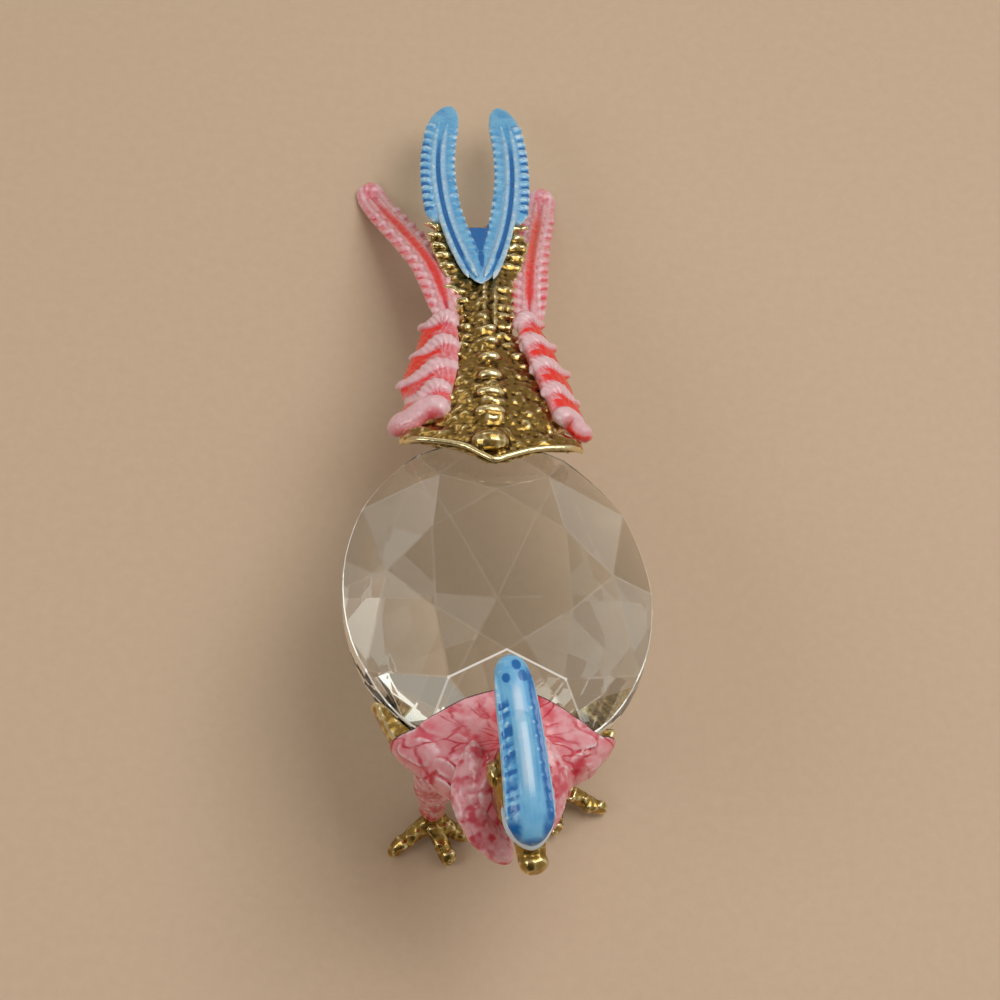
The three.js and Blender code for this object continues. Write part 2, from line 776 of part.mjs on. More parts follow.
// Finishes
const finishes = {
  glass: { color: 0xe9e6dc, roughness: 0.04, metalness: 0 },
  glue: { color: 0xd9d2bd, roughness: 0.4, metalness: 0 },
  gold: { color: 0xc9a85a, roughness: 0.22, metalness: 1 },
  pink: { color: 0xe58f9b, roughness: 0.28, metalness: 0 },
  blue: { color: 0x6fb6e6, roughness: 0.25, metalness: 0 },
};

const figure = new THREE.Group();

function addPiece(name, solid, finish) {
  const mesh = new THREE.Mesh(geometryOf(solid), new THREE.MeshStandardMaterial(finishes[finish]));
  mesh.name = name;
  figure.add(mesh);
}

addPiece('crystal_body', stone, 'glass');
addPiece('front_glue_bed', glueBed(-1), 'glue');
addPiece('rear_glue_bed', glueBed(1), 'glue');
addPiece('tail_casting', tail, 'gold');
addPiece('forked_tail', fork, 'blue');
addPiece('breast_cup', breastCup, 'gold');
addPiece('breast_enamel', breastCoat, 'pink');
addPiece('head_casting', headCasting, 'gold');
addPiece('crest', crestSolid, 'blue');
const feet = { right: rightFoot, left: leftFoot };
for (const [name, side] of Object.entries(sides)) {
  addPiece(`${name}_wing`, wings[name], 'pink');
  addPiece(`${name}_side_feather`, sideFeathers[name], 'pink');
  addPiece(`${name}_ruff`, ruffs[name], 'pink');
  addPiece(`${name}_leg`, leg(feet[name], side), 'gold');
  addPiece(`${name}_thigh_enamel`, thighCoat(feet[name]), 'pink');
}

// The origin is under the middle of the figure's box
const bounds = new THREE.Box3().setFromObject(figure);
const middle = bounds.getCenter(new THREE.Vector3());
figure.position.set(-middle.x, -middle.y, -bounds.min.z);

export default figure;
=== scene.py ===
import bmesh
import bpy
import json
import math
import random
import numpy as np
from mathutils import Matrix, Vector

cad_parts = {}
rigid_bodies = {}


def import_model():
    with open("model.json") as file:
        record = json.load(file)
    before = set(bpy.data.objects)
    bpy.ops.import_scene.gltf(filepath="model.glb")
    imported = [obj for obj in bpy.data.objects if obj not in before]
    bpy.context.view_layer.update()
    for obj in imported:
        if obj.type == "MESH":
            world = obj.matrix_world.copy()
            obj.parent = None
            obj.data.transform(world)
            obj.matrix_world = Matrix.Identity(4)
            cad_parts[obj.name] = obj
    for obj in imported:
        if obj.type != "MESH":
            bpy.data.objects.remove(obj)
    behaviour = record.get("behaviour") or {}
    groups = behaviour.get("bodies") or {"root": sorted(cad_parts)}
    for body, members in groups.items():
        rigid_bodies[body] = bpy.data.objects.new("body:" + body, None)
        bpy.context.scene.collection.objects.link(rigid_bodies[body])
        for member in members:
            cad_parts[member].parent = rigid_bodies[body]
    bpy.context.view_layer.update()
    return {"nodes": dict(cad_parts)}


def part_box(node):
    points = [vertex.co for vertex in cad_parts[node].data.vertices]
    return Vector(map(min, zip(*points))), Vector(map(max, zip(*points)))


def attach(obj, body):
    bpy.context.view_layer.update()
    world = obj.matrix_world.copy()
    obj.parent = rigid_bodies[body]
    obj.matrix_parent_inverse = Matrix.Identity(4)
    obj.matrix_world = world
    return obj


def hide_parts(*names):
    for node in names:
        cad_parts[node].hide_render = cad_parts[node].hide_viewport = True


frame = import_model()
print("frame loaded,", len(frame["nodes"]), "CAD nodes")

# Lengths below are in millimetres, measured from the floor under the stone's middle
unit = 0.001
stoneAhead = 18.029  # the stone's middle lies this far ahead of the frame's origin
right, left = -1, 1  # the bird's own sides
upward, rearward = Vector((0, 0, 1)), Vector((0, 1, 0))
body = {"height": 19, "lean": math.radians(12), "front": -20, "rear": 20}
headAt = {"offset": 0.3, "ahead": 24.6, "height": 29, "turn": math.radians(6)}


def place(x, y, z):
    return Vector((x, y - stoneAhead, z)) * unit


def onBody(x, y, z):  # along the stone's leaning axes
    c, s = math.cos(body["lean"]), math.sin(body["lean"])
    return place(x, y * c + z * s, body["height"] - y * s + z * c)


def stoneAxes(co):  # places along the stone's axes, in mm
    flat = co / unit
    y, z = flat[:, 1] + stoneAhead, flat[:, 2] - body["height"]
    c, s = math.cos(body["lean"]), math.sin(body["lean"])
    return flat[:, 0], y * c - z * s, y * s + z * c


def onHead(x, y, z):  # in the turned head
    c, s = math.cos(headAt["turn"]), math.sin(headAt["turn"])
    return place(headAt["offset"] + x * c - y * s, -headAt["ahead"] + x * s + y * c, headAt["height"] + z)


def bodyUp():
    return Vector((0, math.sin(body["lean"]), math.cos(body["lean"])))


def bodyBack():
    return (onBody(0, 1, 0) - onBody(0, 0, 0)).normalized()


def mix(a, b, t):
    return a + (b - a) * t


def readAt(pairs, x):  # straight lines between given pairs
    return float(np.interp(x, [p[0] for p in pairs], [p[1] for p in pairs]))


def bezier(a, b, c, t):
    return a * (1 - t) ** 2 + b * (2 * t * (1 - t)) + c * t * t


def through(knots, t):  # smooth line through the knots
    spans = len(knots) - 1
    k = min(int(t * spans), spans - 1)
    u = t * spans - k
    b, c = knots[k], knots[k + 1]
    a = knots[k - 1] if k else b * 2 - c
    d = knots[k + 2] if k + 2 <= spans else c * 2 - b
    return (b * 2 + (c - a) * u + (a * 2 - b * 5 + c * 4 - d) * u ** 2 + (b * 3 - a - c * 3 + d) * u ** 3) / 2


def ease(x, low, high):  # 0 below low, 1 above high
    t = np.clip((x - low) / (high - low), 0, 1)
    return t * t * (3 - 2 * t)


def fall(x, low, high):  # 1 below low, 0 above high
    return 1 - ease(x, low, high)


def within(x, rise, drop):  # 1 between a rise and a drop
    return ease(x, *rise) * fall(x, *drop)


def rounded(t, start, end):  # 1 along the middle, drawn in to a round end at both ends
    opening = min(1, t / start)
    closing = min(1, (1 - t) / end)
    return max(0.1, math.sqrt(opening * (2 - opening) * closing * (2 - closing)))


# Operator helpers
def clearSelection():
    if bpy.context.object and bpy.context.object.mode != "OBJECT":
        bpy.ops.object.mode_set(mode="OBJECT")
    bpy.ops.object.select_all(action="DESELECT")


def pick(*things):
    clearSelection()
    for thing in things:
        thing.select_set(True)
    bpy.context.view_layer.objects.active = things[0]


def fresh(name, operator, **settings):  # a new primitive
    clearSelection()
    operator(**settings)
    piece = bpy.context.object
    piece.name = name
    return piece


def joined(name, things):
    pick(*things)
    if len(things) > 1:
        bpy.ops.object.join()
    piece = bpy.context.object
    piece.name = name
    piece.data.name = name
    return piece


def modify(piece, kind, **settings):
    pick(piece)
    bpy.ops.object.modifier_add(type=kind)
    modifier = piece.modifiers[-1]
    for key, value in settings.items():
        setattr(modifier, key, value)
    bpy.ops.object.modifier_apply(modifier=modifier.name)


def discard(*things):
    for thing in things:
        mesh = thing.data
        bpy.data.objects.remove(thing)
        bpy.data.meshes.remove(mesh)


def copyOf(thing, name):
    twin = thing.copy()
    twin.data = thing.data.copy()
    twin.name = name
    twin.parent = None
    twin.hide_viewport = twin.hide_render = False
    bpy.context.scene.collection.objects.link(twin)
    return twin


def editAll(piece, operator, **settings):  # one edit-mode operator on the whole mesh
    pick(piece)
    bpy.ops.object.mode_set(mode="EDIT")
    bpy.ops.mesh.select_all(action="SELECT")
    operator(**settings)
    bpy.ops.object.mode_set(mode="OBJECT")


def editSome(piece, flags, operator, **settings):  # the same on the flagged vertices
    pick(piece)
    bpy.ops.object.mode_set(mode="EDIT")
    bpy.ops.mesh.select_mode(type="VERT")
    bpy.ops.mesh.select_all(action="DESELECT")
    bpy.ops.object.mode_set(mode="OBJECT")
    piece.data.vertices.foreach_set("select", flags)
    bpy.ops.object.mode_set(mode="EDIT")
    operator(**settings)
    bpy.ops.object.mode_set(mode="OBJECT")


def castCopy(node, name):  # a CAD node's mesh, merged, as a start
    twin = copyOf(frame["nodes"][node], name)
    for key in list(twin.keys()):
        del twin[key]
    twin.matrix_world = Matrix.Identity(4)
    twin.data.materials.clear()
    editAll(twin, bpy.ops.mesh.remove_doubles, threshold=0.002 * unit)
    return twin


def turned(forward, up):  # axes with z along forward and y towards up
    f = forward.normalized()
    side = up.cross(f).normalized()
    return Matrix((side, f.cross(side), f)).transposed()


# A tube bridged through oval rings: (middle, half width, half height) with up as the second axis
def tube(name, rings, sides=20, up=upward, forward=None, point=1):
    piece = fresh(name, bpy.ops.mesh.primitive_circle_add, vertices=sides, radius=unit)
    bpy.ops.object.mode_set(mode="EDIT")
    bpy.ops.mesh.delete(type="VERT")
    last = len(rings) - 1
    for k, (middle, halfWidth, halfHeight) in enumerate(rings):
        ahead = forward or rings[min(k + 1, last)][0] - rings[max(k - 1, 0)][0]
        bpy.ops.mesh.primitive_circle_add(vertices=sides, radius=1)
        axes = turned(ahead, up) @ Matrix.Diagonal((halfWidth * unit, halfHeight * unit, 1))
        ring = bmesh.from_edit_mesh(piece.data)
        picked = [v for v in ring.verts if v.select]
        for v in picked:  # over 1 draws both sides out to a point
            v.co.x = math.copysign(abs(v.co.x) ** point, v.co.x)
        bmesh.ops.transform(ring, matrix=Matrix.Translation(middle) @ axes.to_4x4(), verts=picked)
        bmesh.update_edit_mesh(piece.data)
    bpy.ops.mesh.select_all(action="SELECT")
    bpy.ops.mesh.bridge_edge_loops()
    bpy.ops.mesh.select_all(action="SELECT")
    bpy.ops.mesh.fill_holes(sides=0)
    bpy.ops.mesh.select_all(action="SELECT")
    bpy.ops.mesh.normals_make_consistent(inside=False)
    bpy.ops.object.mode_set(mode="OBJECT")
    return piece


def block(name, low, high):  # a box along the stone's axes
    tool = fresh(name, bpy.ops.mesh.primitive_cube_add, size=1)
    middle = onBody(*[(a + b) / 2 for a, b in zip(low, high)])
    size = Matrix.Diagonal((*[(b - a) * unit for a, b in zip(low, high)], 1))
    tool.data.transform(Matrix.Translation(middle) @ Matrix.Rotation(-body["lean"], 4, "X") @ size)
    return tool


def strand(name, line, steps, width, height, sides=20, up=upward, start=0.25, end=0.2, point=1):
    rings = []
    for k in range(steps + 1):
        t = k / steps
        size = rounded(t, start, end)
        wide, high = (side(t) if callable(side) else side for side in (width, height))
        rings.append((line(t), wide / 2 * size, high / 2 * size))
    return tube(name, rings, sides, up, point=point)


# Small repeated shapes, modelled once and copied
def dropMaster(name, tipWidth, tipHeight):  # a long drop along +y, drawn in at its tip
    tipFrom = 0.3
    drop = fresh(name, bpy.ops.mesh.primitive_uv_sphere_add, segments=12, ring_count=8, radius=1,
                 rotation=(math.pi / 2, 0, 0))
    bpy.ops.object.transform_apply(location=True, rotation=True, scale=True)
    editSome(drop, [vertex.co.y > tipFrom for vertex in drop.data.vertices], bpy.ops.transform.resize,
             value=(tipWidth, 1, tipHeight), center_override=(0, tipFrom, 0))
    return drop


def stamp(master, spots):  # spots: (middle, along, up, length, width, thickness)
    copies = []
    for middle, along, up, length, width, thickness in spots:
        u = up.normalized()
        side = along.cross(u).normalized()
        a = u.cross(side)
        axes = Matrix((side * width / 2, a * length / 2, u * thickness / 2)).transposed() * unit
        twin = copyOf(master, "leafCopy")
        twin.data.transform(Matrix.Translation(middle) @ axes.to_4x4())
        copies.append(twin)
    return copies


def soften(piece, rounds):
    modify(piece, "SMOOTH", factor=0.5, iterations=rounds)


def fuse(piece, voxel, rounds):  # one cast skin over all that was joined
    modify(piece, "REMESH", mode="VOXEL", voxel_size=voxel * unit, use_smooth_shade=True)
    soften(piece, rounds)


def cut(piece, tool, operation="DIFFERENCE"):
    modify(piece, "BOOLEAN", operation=operation, solver="MANIFOLD", object=tool)


def hammer(piece, size, depth, kind="VORONOI"):  # uneven dents, as cast and beaten
    dents = bpy.data.textures.new("dents", kind)
    dents.noise_scale = size * unit
    modify(piece, "DISPLACE", texture=dents, texture_coords="LOCAL", strength=depth * unit, mid_level=0.5)
    bpy.data.textures.remove(dents)


def setOnFloor(piece):  # what would reach below the floor lies flat on it
    for vertex in piece.data.vertices:
        vertex.co.z = max(vertex.co.z, 0)


# What the finishes read: hollows of the casting, places painted by hand, and painted highlights and shadows
def readVertices(piece, key):
    values = np.empty(len(piece.data.vertices) * 3, np.float32)
    piece.data.vertices.foreach_get(key, values)
    return values.reshape(-1, 3)


def coords(piece):
    return readVertices(piece, "co").astype(np.float64)


def edgeEnds(piece):
    ends = np.empty(len(piece.data.edges) * 2, np.int32)
    piece.data.edges.foreach_get("vertices", ends)
    return ends.reshape(-1, 2).T


def mark(piece, **layers):  # one value per vertex, or one for all
    for name, values in layers.items():
        layer = piece.data.attributes.new(name, "FLOAT", "POINT")
        values = np.broadcast_to(values, len(piece.data.vertices))
        layer.data.foreach_set("value", np.ascontiguousarray(values, np.float32))


def markFlow(piece, across, along):  # a chart in mm, for lines that follow the form
    layer = piece.data.attributes.new("flow", "FLOAT_VECTOR", "POINT")
    chart = np.column_stack([across, along, np.zeros(len(across))])
    layer.data.foreach_set("vector", np.ascontiguousarray(chart.ravel(), np.float32))


def markHollows(piece, rounds, depth):  # 1 in hollows this deep, -1 on ridges
    co = coords(piece)
    a, b = edgeEnds(piece)
    count = np.bincount(a, minlength=len(co)) + np.bincount(b, minlength=len(co))
    soft = co.copy()
    for _ in range(rounds):
        near = np.empty_like(soft)
        for axis in range(3):
            near[:, axis] = np.bincount(a, soft[b, axis], len(co)) + np.bincount(b, soft[a, axis], len(co))
        soft = (soft + near / np.maximum(count, 1)[:, None]) / 2
    hollow = ((soft - co) * readVertices(piece, "normal")).sum(1) / (depth * unit)
    mark(piece, hollow=np.clip(hollow, -1, 1))


def swell(piece, amounts):  # moves the skin along its normals, in mm
    moved = coords(piece) + readVertices(piece, "normal") * amounts[:, None] * unit
    piece.data.vertices.foreach_set("co", moved.astype(np.float32).ravel())
    piece.data.update()


# Share along a line, and the offsets to its side and over it in mm
def followLine(co, line, up=upward, samples=90):
    pts = [line(k / (samples - 1)) for k in range(samples)]
    axes = []
    for k in range(samples):
        ahead = pts[min(k + 1, samples - 1)] - pts[max(k - 1, 0)]
        axes.append(turned(ahead, up))
    middle = np.array(pts)
    nearest = ((co[:, None, :] - middle[None]) ** 2).sum(2).argmin(1)
    frames = np.array(axes)[nearest]
    local = np.einsum("nij,ni->nj", frames, co - middle[nearest]) / unit
    pitch = np.linalg.norm(np.diff(middle, axis=0), axis=1).mean() / unit
    share = np.clip((nearest + local[:, 2] / pitch) / (samples - 1), 0, 1)
    return share, local[:, 0], local[:, 1]


# Shader sums: a wire is one socket, and sums on wires add Math nodes
class Wire:
    def __init__(self, nodes, socket):
        self.nodes, self.socket = nodes, socket

    def sum(self, operation, *values):
        return self.nodes.add("ShaderNodeMath", {"operation": operation}, values)

    def __add__(self, other):
        return self.sum("ADD", self, other)

    def __sub__(self, other):
        return self.sum("SUBTRACT", self, other)

    def __rsub__(self, other):
        return self.sum("SUBTRACT", other, self)

    def __mul__(self, other):
        return self.sum("MULTIPLY", self, other)

    __radd__ = __add__
    __rmul__ = __mul__

    def over(self, low, high, kind="SMOOTHSTEP"):  # 0 below low, 1 above high
        return self.nodes.add("ShaderNodeMapRange", {"interpolation_type": kind},
                              {"Value": self, "From Min": low, "From Max": high})


class Nodes:
    def __init__(self, tree):
        self.tree = tree

    def put(self, socket, value):
        if isinstance(value, Wire):
            self.tree.links.new(value.socket, socket)
        elif socket.type == "RGBA":
            socket.default_value = (*value, 1)
        else:
            socket.default_value = value

    def add(self, kind, settings=None, sockets=(), out=0):
        node = self.tree.nodes.new(kind)
        for key, value in (settings or {}).items():
            setattr(node, key, value)
        pairs = sockets.items() if isinstance(sockets, dict) else enumerate(sockets)
        for key, value in pairs:
            self.put(node.inputs[key], value)
        return Wire(self, node.outputs[out])

    def blend(self, share, a, b):
        return self.add("ShaderNodeMix", {"data_type": "RGBA"}, {0: share, 6: a, 7: b}, 2)


class Finish(Nodes):
    def __init__(self, name, **fixed):
        self.material = bpy.data.materials.new(name)
        self.material.use_nodes = True
        super().__init__(self.material.node_tree)
        self.shader = self.tree.nodes["Principled BSDF"]
        for socket, value in fixed.items():
            self.shader.inputs[socket.replace("_", " ")].default_value = value

    def painted(self, name):
        return self.add("ShaderNodeAttribute", {"attribute_name": name}, out="Fac")

    def grain(self, scale, detail=3):
        where = self.add("ShaderNodeTexCoord", out="Object")
        return self.add("ShaderNodeTexNoise", None,
                        {"Vector": where, "Scale": scale, "Detail": detail, "Roughness": 0.55}, "Fac")

    def crazing(self, scale, waver):  # distance to the lines of a wavering net in the flow chart
        where = self.add("ShaderNodeAttribute", {"attribute_name": "flow"}, out="Vector")
        noise = self.add("ShaderNodeTexNoise", None, {"Vector": where, "Scale": scale * 1.3, "Detail": 2}, "Color")
        bent = self.add("ShaderNodeVectorMath", {"operation": "MULTIPLY_ADD"}, [noise, waver, where])
        return self.add("ShaderNodeTexVoronoi", {"feature": "DISTANCE_TO_EDGE"}, {"Vector": bent, "Scale": scale})

    def feed(self, **wires):
        for socket, value in wires.items():
            self.put(self.shader.inputs[socket.replace("_", " ")], value)

    def bump(self, height, strength, distance):
        self.feed(Normal=self.add("ShaderNodeBump", None, {"Height": height, "Strength": strength,
                                                           "Distance": distance * unit}, "Normal"))


def tint(r, g, b):  # colour as read from a screen
    return tuple(v / 255 / 12.92 if v <= 10 else ((v / 255 + 0.055) / 1.055) ** 2.4 for v in (r, g, b))


giltLook = {
    "bright": tint(242, 226, 176), "plain": tint(172, 140, 72), "deep": tint(58, 42, 17),
    "grain": 1700, "hammer": 900, "darkens": (0.25, 1.0), "brightens": (0.45, 1.0),
    "roughness": 0.13, "bump": (0.4, 0.14)}
pinkLook = {
    "pale": tint(234, 172, 181), "plain": tint(220, 96, 114), "vein": tint(196, 26, 56),
    # milk: milky enamel, also used for painted highlights
    "accent": tint(240, 40, 30), "milk": tint(238, 214, 222), "blotch": tint(206, 44, 74),
    "wash": 420, "fleck": 1900, "patch": 640}
blueLook = {
    "pale": tint(124, 192, 234), "plain": tint(76, 162, 222), "vein": tint(8, 104, 180),
    # milk: milky enamel, also used for painted highlights
    "accent": tint(8, 104, 180), "milk": tint(214, 232, 246), "blotch": tint(40, 124, 196),
    "wash": 380, "fleck": 1700, "patch": 600}
enamelLook = {
    # colour of a painted shadow line along the arched edge
    "dusk": tint(70, 34, 34), "net": 0.52, "waver": (2.2, 1.4, 0), "line": (0.01, 0.085), "painted": (0.04, 0.96),
    "roughness": 0.2, "bump": (0.25, 0.09)}
glassLook = {"tints": (tint(251, 253, 248), tint(254, 255, 252)), "glint": tint(250, 246, 236), "cloud": 90,
             "ripple": 260, "bump": (0.02, 0.05)}
glueLook = {"tints": (tint(214, 204, 170), tint(238, 232, 208)), "cloud": 500,
            "roughness": 0.15, "bump": (0.2, 0.1)}


def giltFinish():
    look = giltLook
    finish = Finish("giltCasting", Metallic=1.0, Coat_Weight=0.15, Coat_Roughness=0.08)
    hollow, wearAndGlint = finish.painted("hollow"), finish.grain(look["grain"])
    hammered = finish.grain(look["hammer"], 2)
    shade = finish.blend((hollow + wearAndGlint * 0.5).over(*look["darkens"]), look["plain"], look["deep"])
    shade = finish.blend((wearAndGlint * 0.6 - hollow).over(*look["brightens"]), shade, look["bright"])
    finish.feed(Base_Color=shade, Roughness=wearAndGlint * 0.22 + hollow.over(0, 1) * 0.2 + look["roughness"])
    finish.bump(hammered + wearAndGlint * 0.4, *look["bump"])
    return finish.material


def enamelFinish(name, look):
    coat = enamelLook
    finish = Finish(name, Specular_IOR_Level=0.5, Coat_Weight=0.5, Coat_Roughness=0.08)
    hollow, wash, fleck = finish.painted("hollow"), finish.grain(look["wash"]), finish.grain(look["fleck"], 2)
    shade = finish.blend((hollow * 0.8 + wash * 1.2).over(0.25, 1.0), look["pale"], look["plain"])
    shade = finish.blend((fleck - hollow * 0.9).over(0.7, 1.25), shade, look["milk"])
    stain = finish.grain(look["patch"], 2).over(0.5, 0.66) * finish.painted("blotch")
    shade = finish.blend(stain, shade, look["blotch"])
    shade = finish.blend((hollow + fleck * 0.35).over(0.45, 0.95) * 0.8, shade, look["vein"])
    lines = 1 - finish.crazing(coat["net"], coat["waver"]).over(*coat["line"])
    lines = lines * finish.painted("lines") * wash.over(0.3, 0.6)
    shade = finish.blend(lines, shade, look["vein"])
    for layer, uneven in (("accent", fleck), ("milk", wash)):  # brushed on, thinner in places; the milky layer also carries painted highlights
        brushed = finish.painted(layer) * (uneven * 1.4 + 0.4)
        shade = finish.blend(brushed.over(*coat["painted"]), shade, look[layer])
    # painted shadow: a dark line where the enamel meets the glass at the arched edge
    shade = finish.blend(finish.painted("dusk").over(0.3, 0.8), shade, coat["dusk"])
    finish.feed(Base_Color=shade, Roughness=wash * 0.18 + coat["roughness"])
    finish.bump(fleck * 0.5 + wash * 0.5 - lines * 1.5, *coat["bump"])
    return finish.material


def glassFinish():
    look = glassLook
    finish = Finish("cutGlass", Transmission_Weight=1.0, IOR=1.52, Roughness=0.0)
    finish.feed(Base_Color=finish.blend(finish.grain(look["cloud"], 2), *look["tints"]))
    finish.bump(finish.grain(look["ripple"], 1), *look["bump"])
    glint = finish.add("ShaderNodeEmission", None, {"Color": look["glint"]})  # a painted glint that glows on the bevelled edges
    both = finish.add("ShaderNodeMixShader", None,
                      {0: finish.painted("edge"), 1: Wire(finish, finish.shader.outputs[0]), 2: glint})
    finish.put(finish.tree.nodes["Material Output"].inputs["Surface"], both)
    return finish.material


def glueFinish():
    look = glueLook
    finish = Finish("curedGlue", IOR=1.47, Transmission_Weight=0.6)
    cloud = finish.grain(look["cloud"])
    finish.feed(Base_Color=finish.blend(cloud, *look["tints"]), Roughness=cloud * 0.3 + look["roughness"])
    finish.bump(cloud, *look["bump"])
    return finish.material


gilt = giltFinish()
pink = enamelFinish("pinkEnamel", pinkLook)
blue = enamelFinish("blueEnamel", blueLook)
glass = glassFinish()
glue = glueFinish()
print("finishes ready")


def dropCrumbs(piece, least=300):  # loose bits that a remesh or a cut leaves
    a, b = edgeEnds(piece)
    island, before = np.arange(len(piece.data.vertices)), None
    while before is None or (island != before).any():
        before = island
        low = np.minimum(before[a], before[b])
        island = before.copy()
        np.minimum.at(island, before[a], low)
        np.minimum.at(island, before[b], low)
        island = island[island]
    crumbs = np.bincount(island)[island] < least
    if crumbs.any():
        editSome(piece, crumbs, bpy.ops.mesh.delete, type="VERT")


def settle(piece, material, slot, *nodes, smooth=True):
    dropCrumbs(piece)
    piece.data.materials.clear()
    piece.data.materials.append(material)
    if smooth:
        pick(piece)
        bpy.ops.object.shade_smooth_by_angle(angle=math.radians(50))
    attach(piece, "root")
    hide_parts(*nodes)
    print(piece.name, len(piece.data.polygons), "faces")


leaf = dropMaster("leaf", 0.8, 0.7)
bar = dropMaster("bar", 1.1, 1.0)

# Stone: the CAD facets with polished edges
stoneLook = {
    # wearAndGlint here: painted glint on the bevelled edges outside the listed glints
    "edge": 0.11, "edgeAngle": 4, "flatAngle": 1, "girdle": 0.05, "seat": 0.15, "wearAndGlint": 0.04,
    "glints": [(0.35, (-1, 99), (-99, 99), (0.1, 1.5)),  # glow, then the reach along x on both sides, y and z
               (0.6, (-1, 5.9), (-13.5, -8.2), (2.5, 99)),
               (0.3, (3, 7.2), (-18, -12.4), (1.5, 99))]}


def glowAt(center):  # rim first, then the V at the front and the strokes below it
    x, y, z = (float(v[0]) for v in stoneAxes(np.array([center])))
    for glow, *reach in stoneLook["glints"]:
        if all(low < v < high for v, (low, high) in zip((abs(x), y, z), reach)):
            return glow
    return stoneLook["wearAndGlint"]


def makeStone():
    look = stoneLook
    stone = castCopy("crystal_body", "stone")
    editAll(stone, bpy.ops.mesh.dissolve_limited, angle_limit=math.radians(look["flatAngle"]))
    stone.data.materials.append(glass)
    stone.data.materials.append(glue)  # marks the bevelled edges until they are read below
    modify(stone, "BEVEL", width=look["edge"] * unit, segments=1, limit_method="ANGLE",
           angle_limit=math.radians(look["edgeAngle"]), material=1)
    # painted glints: each bevelled edge glows a little, more on the rim, the front V and the strokes below it
    glows = [face.material_index * glowAt(face.center) for face in stone.data.polygons]
    for face in stone.data.polygons:  # only the round girdle is shaded smooth
        face.use_smooth = abs(face.normal.dot(bodyUp())) < look["girdle"]
        face.material_index = 0
    layer = stone.data.attributes.new("edge", "FLOAT", "FACE")
    layer.data.foreach_set("value", np.array(glows, np.float32))
    settle(stone, glass, "faceted_glass", "crystal_body", smooth=False)


def stoneTool(grow):  # a slightly larger stone, to cut the seats
    tool = castCopy("crystal_body", "stoneTool")
    middle = onBody(0, 0, 0)
    low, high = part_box("crystal_body")
    size = high - low
    ratio = [1 + 2 * grow * unit / size[k] for k in range(3)]
    tool.data.transform(Matrix.Translation(middle) @ Matrix.Diagonal((*ratio, 1)) @ Matrix.Translation(-middle))
    return tool


# Breast: gilt cup and its enamel coat with the arched edge
breastLook = {
    "halfWidth": [(-8.2, 12.9), (-3.4, 10.9), (-1.6, 10.0), (0.5, 7.6), (3, 4.9), (5.2, 2.6)],
    "upper": [(-8.2, 4.4), (-3.4, 4.4), (0.5, 4.2), (5.2, 2.2)],
    "lower": [(-8.2, -5.6), (-3.4, -5.6), (0.5, -5.4), (5.2, -3.2)],
    "back": -8.2, "front": 5.2, "shift": -0.4, "point": 1.45, "steps": 22, "noseFrom": 0.9, "noseLength": 0.1,
    "core": -1.1, "rim": -0.3, "coat": 0.05, "rimTop": 0.2,
    "rimEnds": ((-40, -12.9), (4, -15.6)), "rimEndWidth": 44,
    "neckAt": -20.5, "neckFoot": 8.4, "neckTop": 5.8, "neckDepth": 6.4, "waist": 0.12, "throat": -1.65,
    "neckCore": -0.4, "neckCoat": 0.7, "bite": 9, "biteMiddle": -8.6, "shell": 0.75, "archInset": 0.25,
    "arch": [(-13, -18.2), (-10.6, -17.5), (-8.7, -17.4), (-6.7, -16.4), (-4.1, -15.2), (-1.4, -14.55),
             (0.6, -14.4), (2.4, -14.7), (4.1, -15.35), (6.3, -16.55), (7.8, -17.3), (8.9, -17.4),
             (10.0, -16.9), (13, -16.2)],
    "arm": [((4.2, -18.4, -2.0), (1.4, 0.9)), ((6.0, -16.9, -2.0), (1.5, 1.0)), ((7.5, -15.2, -2.1), (1.7, 1.1)),
            ((8.7, -13.1, -2.1), (1.9, 1.2)), ((8.9, -11.9, -1.9), (1.3, 0.9))],
    "seats": [[(-12.2, -10.2), (-9.6, -11.2), (-7.9, -13.2), (-7.9, -15.2), (-9.0, -17.2), (-10.3, -14.2)],
              [(12.2, -9.8), (8.8, -11.2), (6.2, -12.8), (6.0, -14.8), (8.2, -17.4), (10.9, -13.4)]],
    # reach, rise, count, length and width of each row of feathers
    "leaves": [(3.6, 5.0, 7, 4.6, 2.4), (6.2, 4.6, 9, 5.2, 2.7), (9.0, 4.4, 11, 5.2, 2.9),
               (11.6, 4.2, 11, 4.4, 2.9)],
    "leafSwing": 122, "leafFall": 0.55, "leafJitter": 0.35, "leafThick": 0.36, "leafSink": 0.04, "leafHalf": 8.4}
toolHeight, toolSide, toolAhead = 30, 40, 60  # cutting tools reach well past the pieces


def breastLoft(name, grow):
    look = breastLook
    rings = []
    for k in range(look["steps"] + 1):
        t = k / look["steps"]
        ahead = mix(look["back"], look["front"] + grow, t)
        top = readAt(look["upper"], ahead) + grow
        bottom = readAt(look["lower"], ahead) - grow
        width = readAt(look["halfWidth"], ahead) + grow
        if t > look["noseFrom"]:
            width *= math.sqrt(1 - ((t - look["noseFrom"]) / look["noseLength"]) ** 2 * 0.75)
            middle = (top + bottom) / 2
            top, bottom = mix(middle, top, 0.8), mix(middle, bottom, 0.8)
        rings.append((onBody(look["shift"], body["front"] - ahead, (top + bottom) / 2), width, (top - bottom) / 2))
    ahead = onBody(0, -1, 0) - onBody(0, 0, 0)
    return tube(name, rings, 44, bodyUp(), ahead, look["point"])


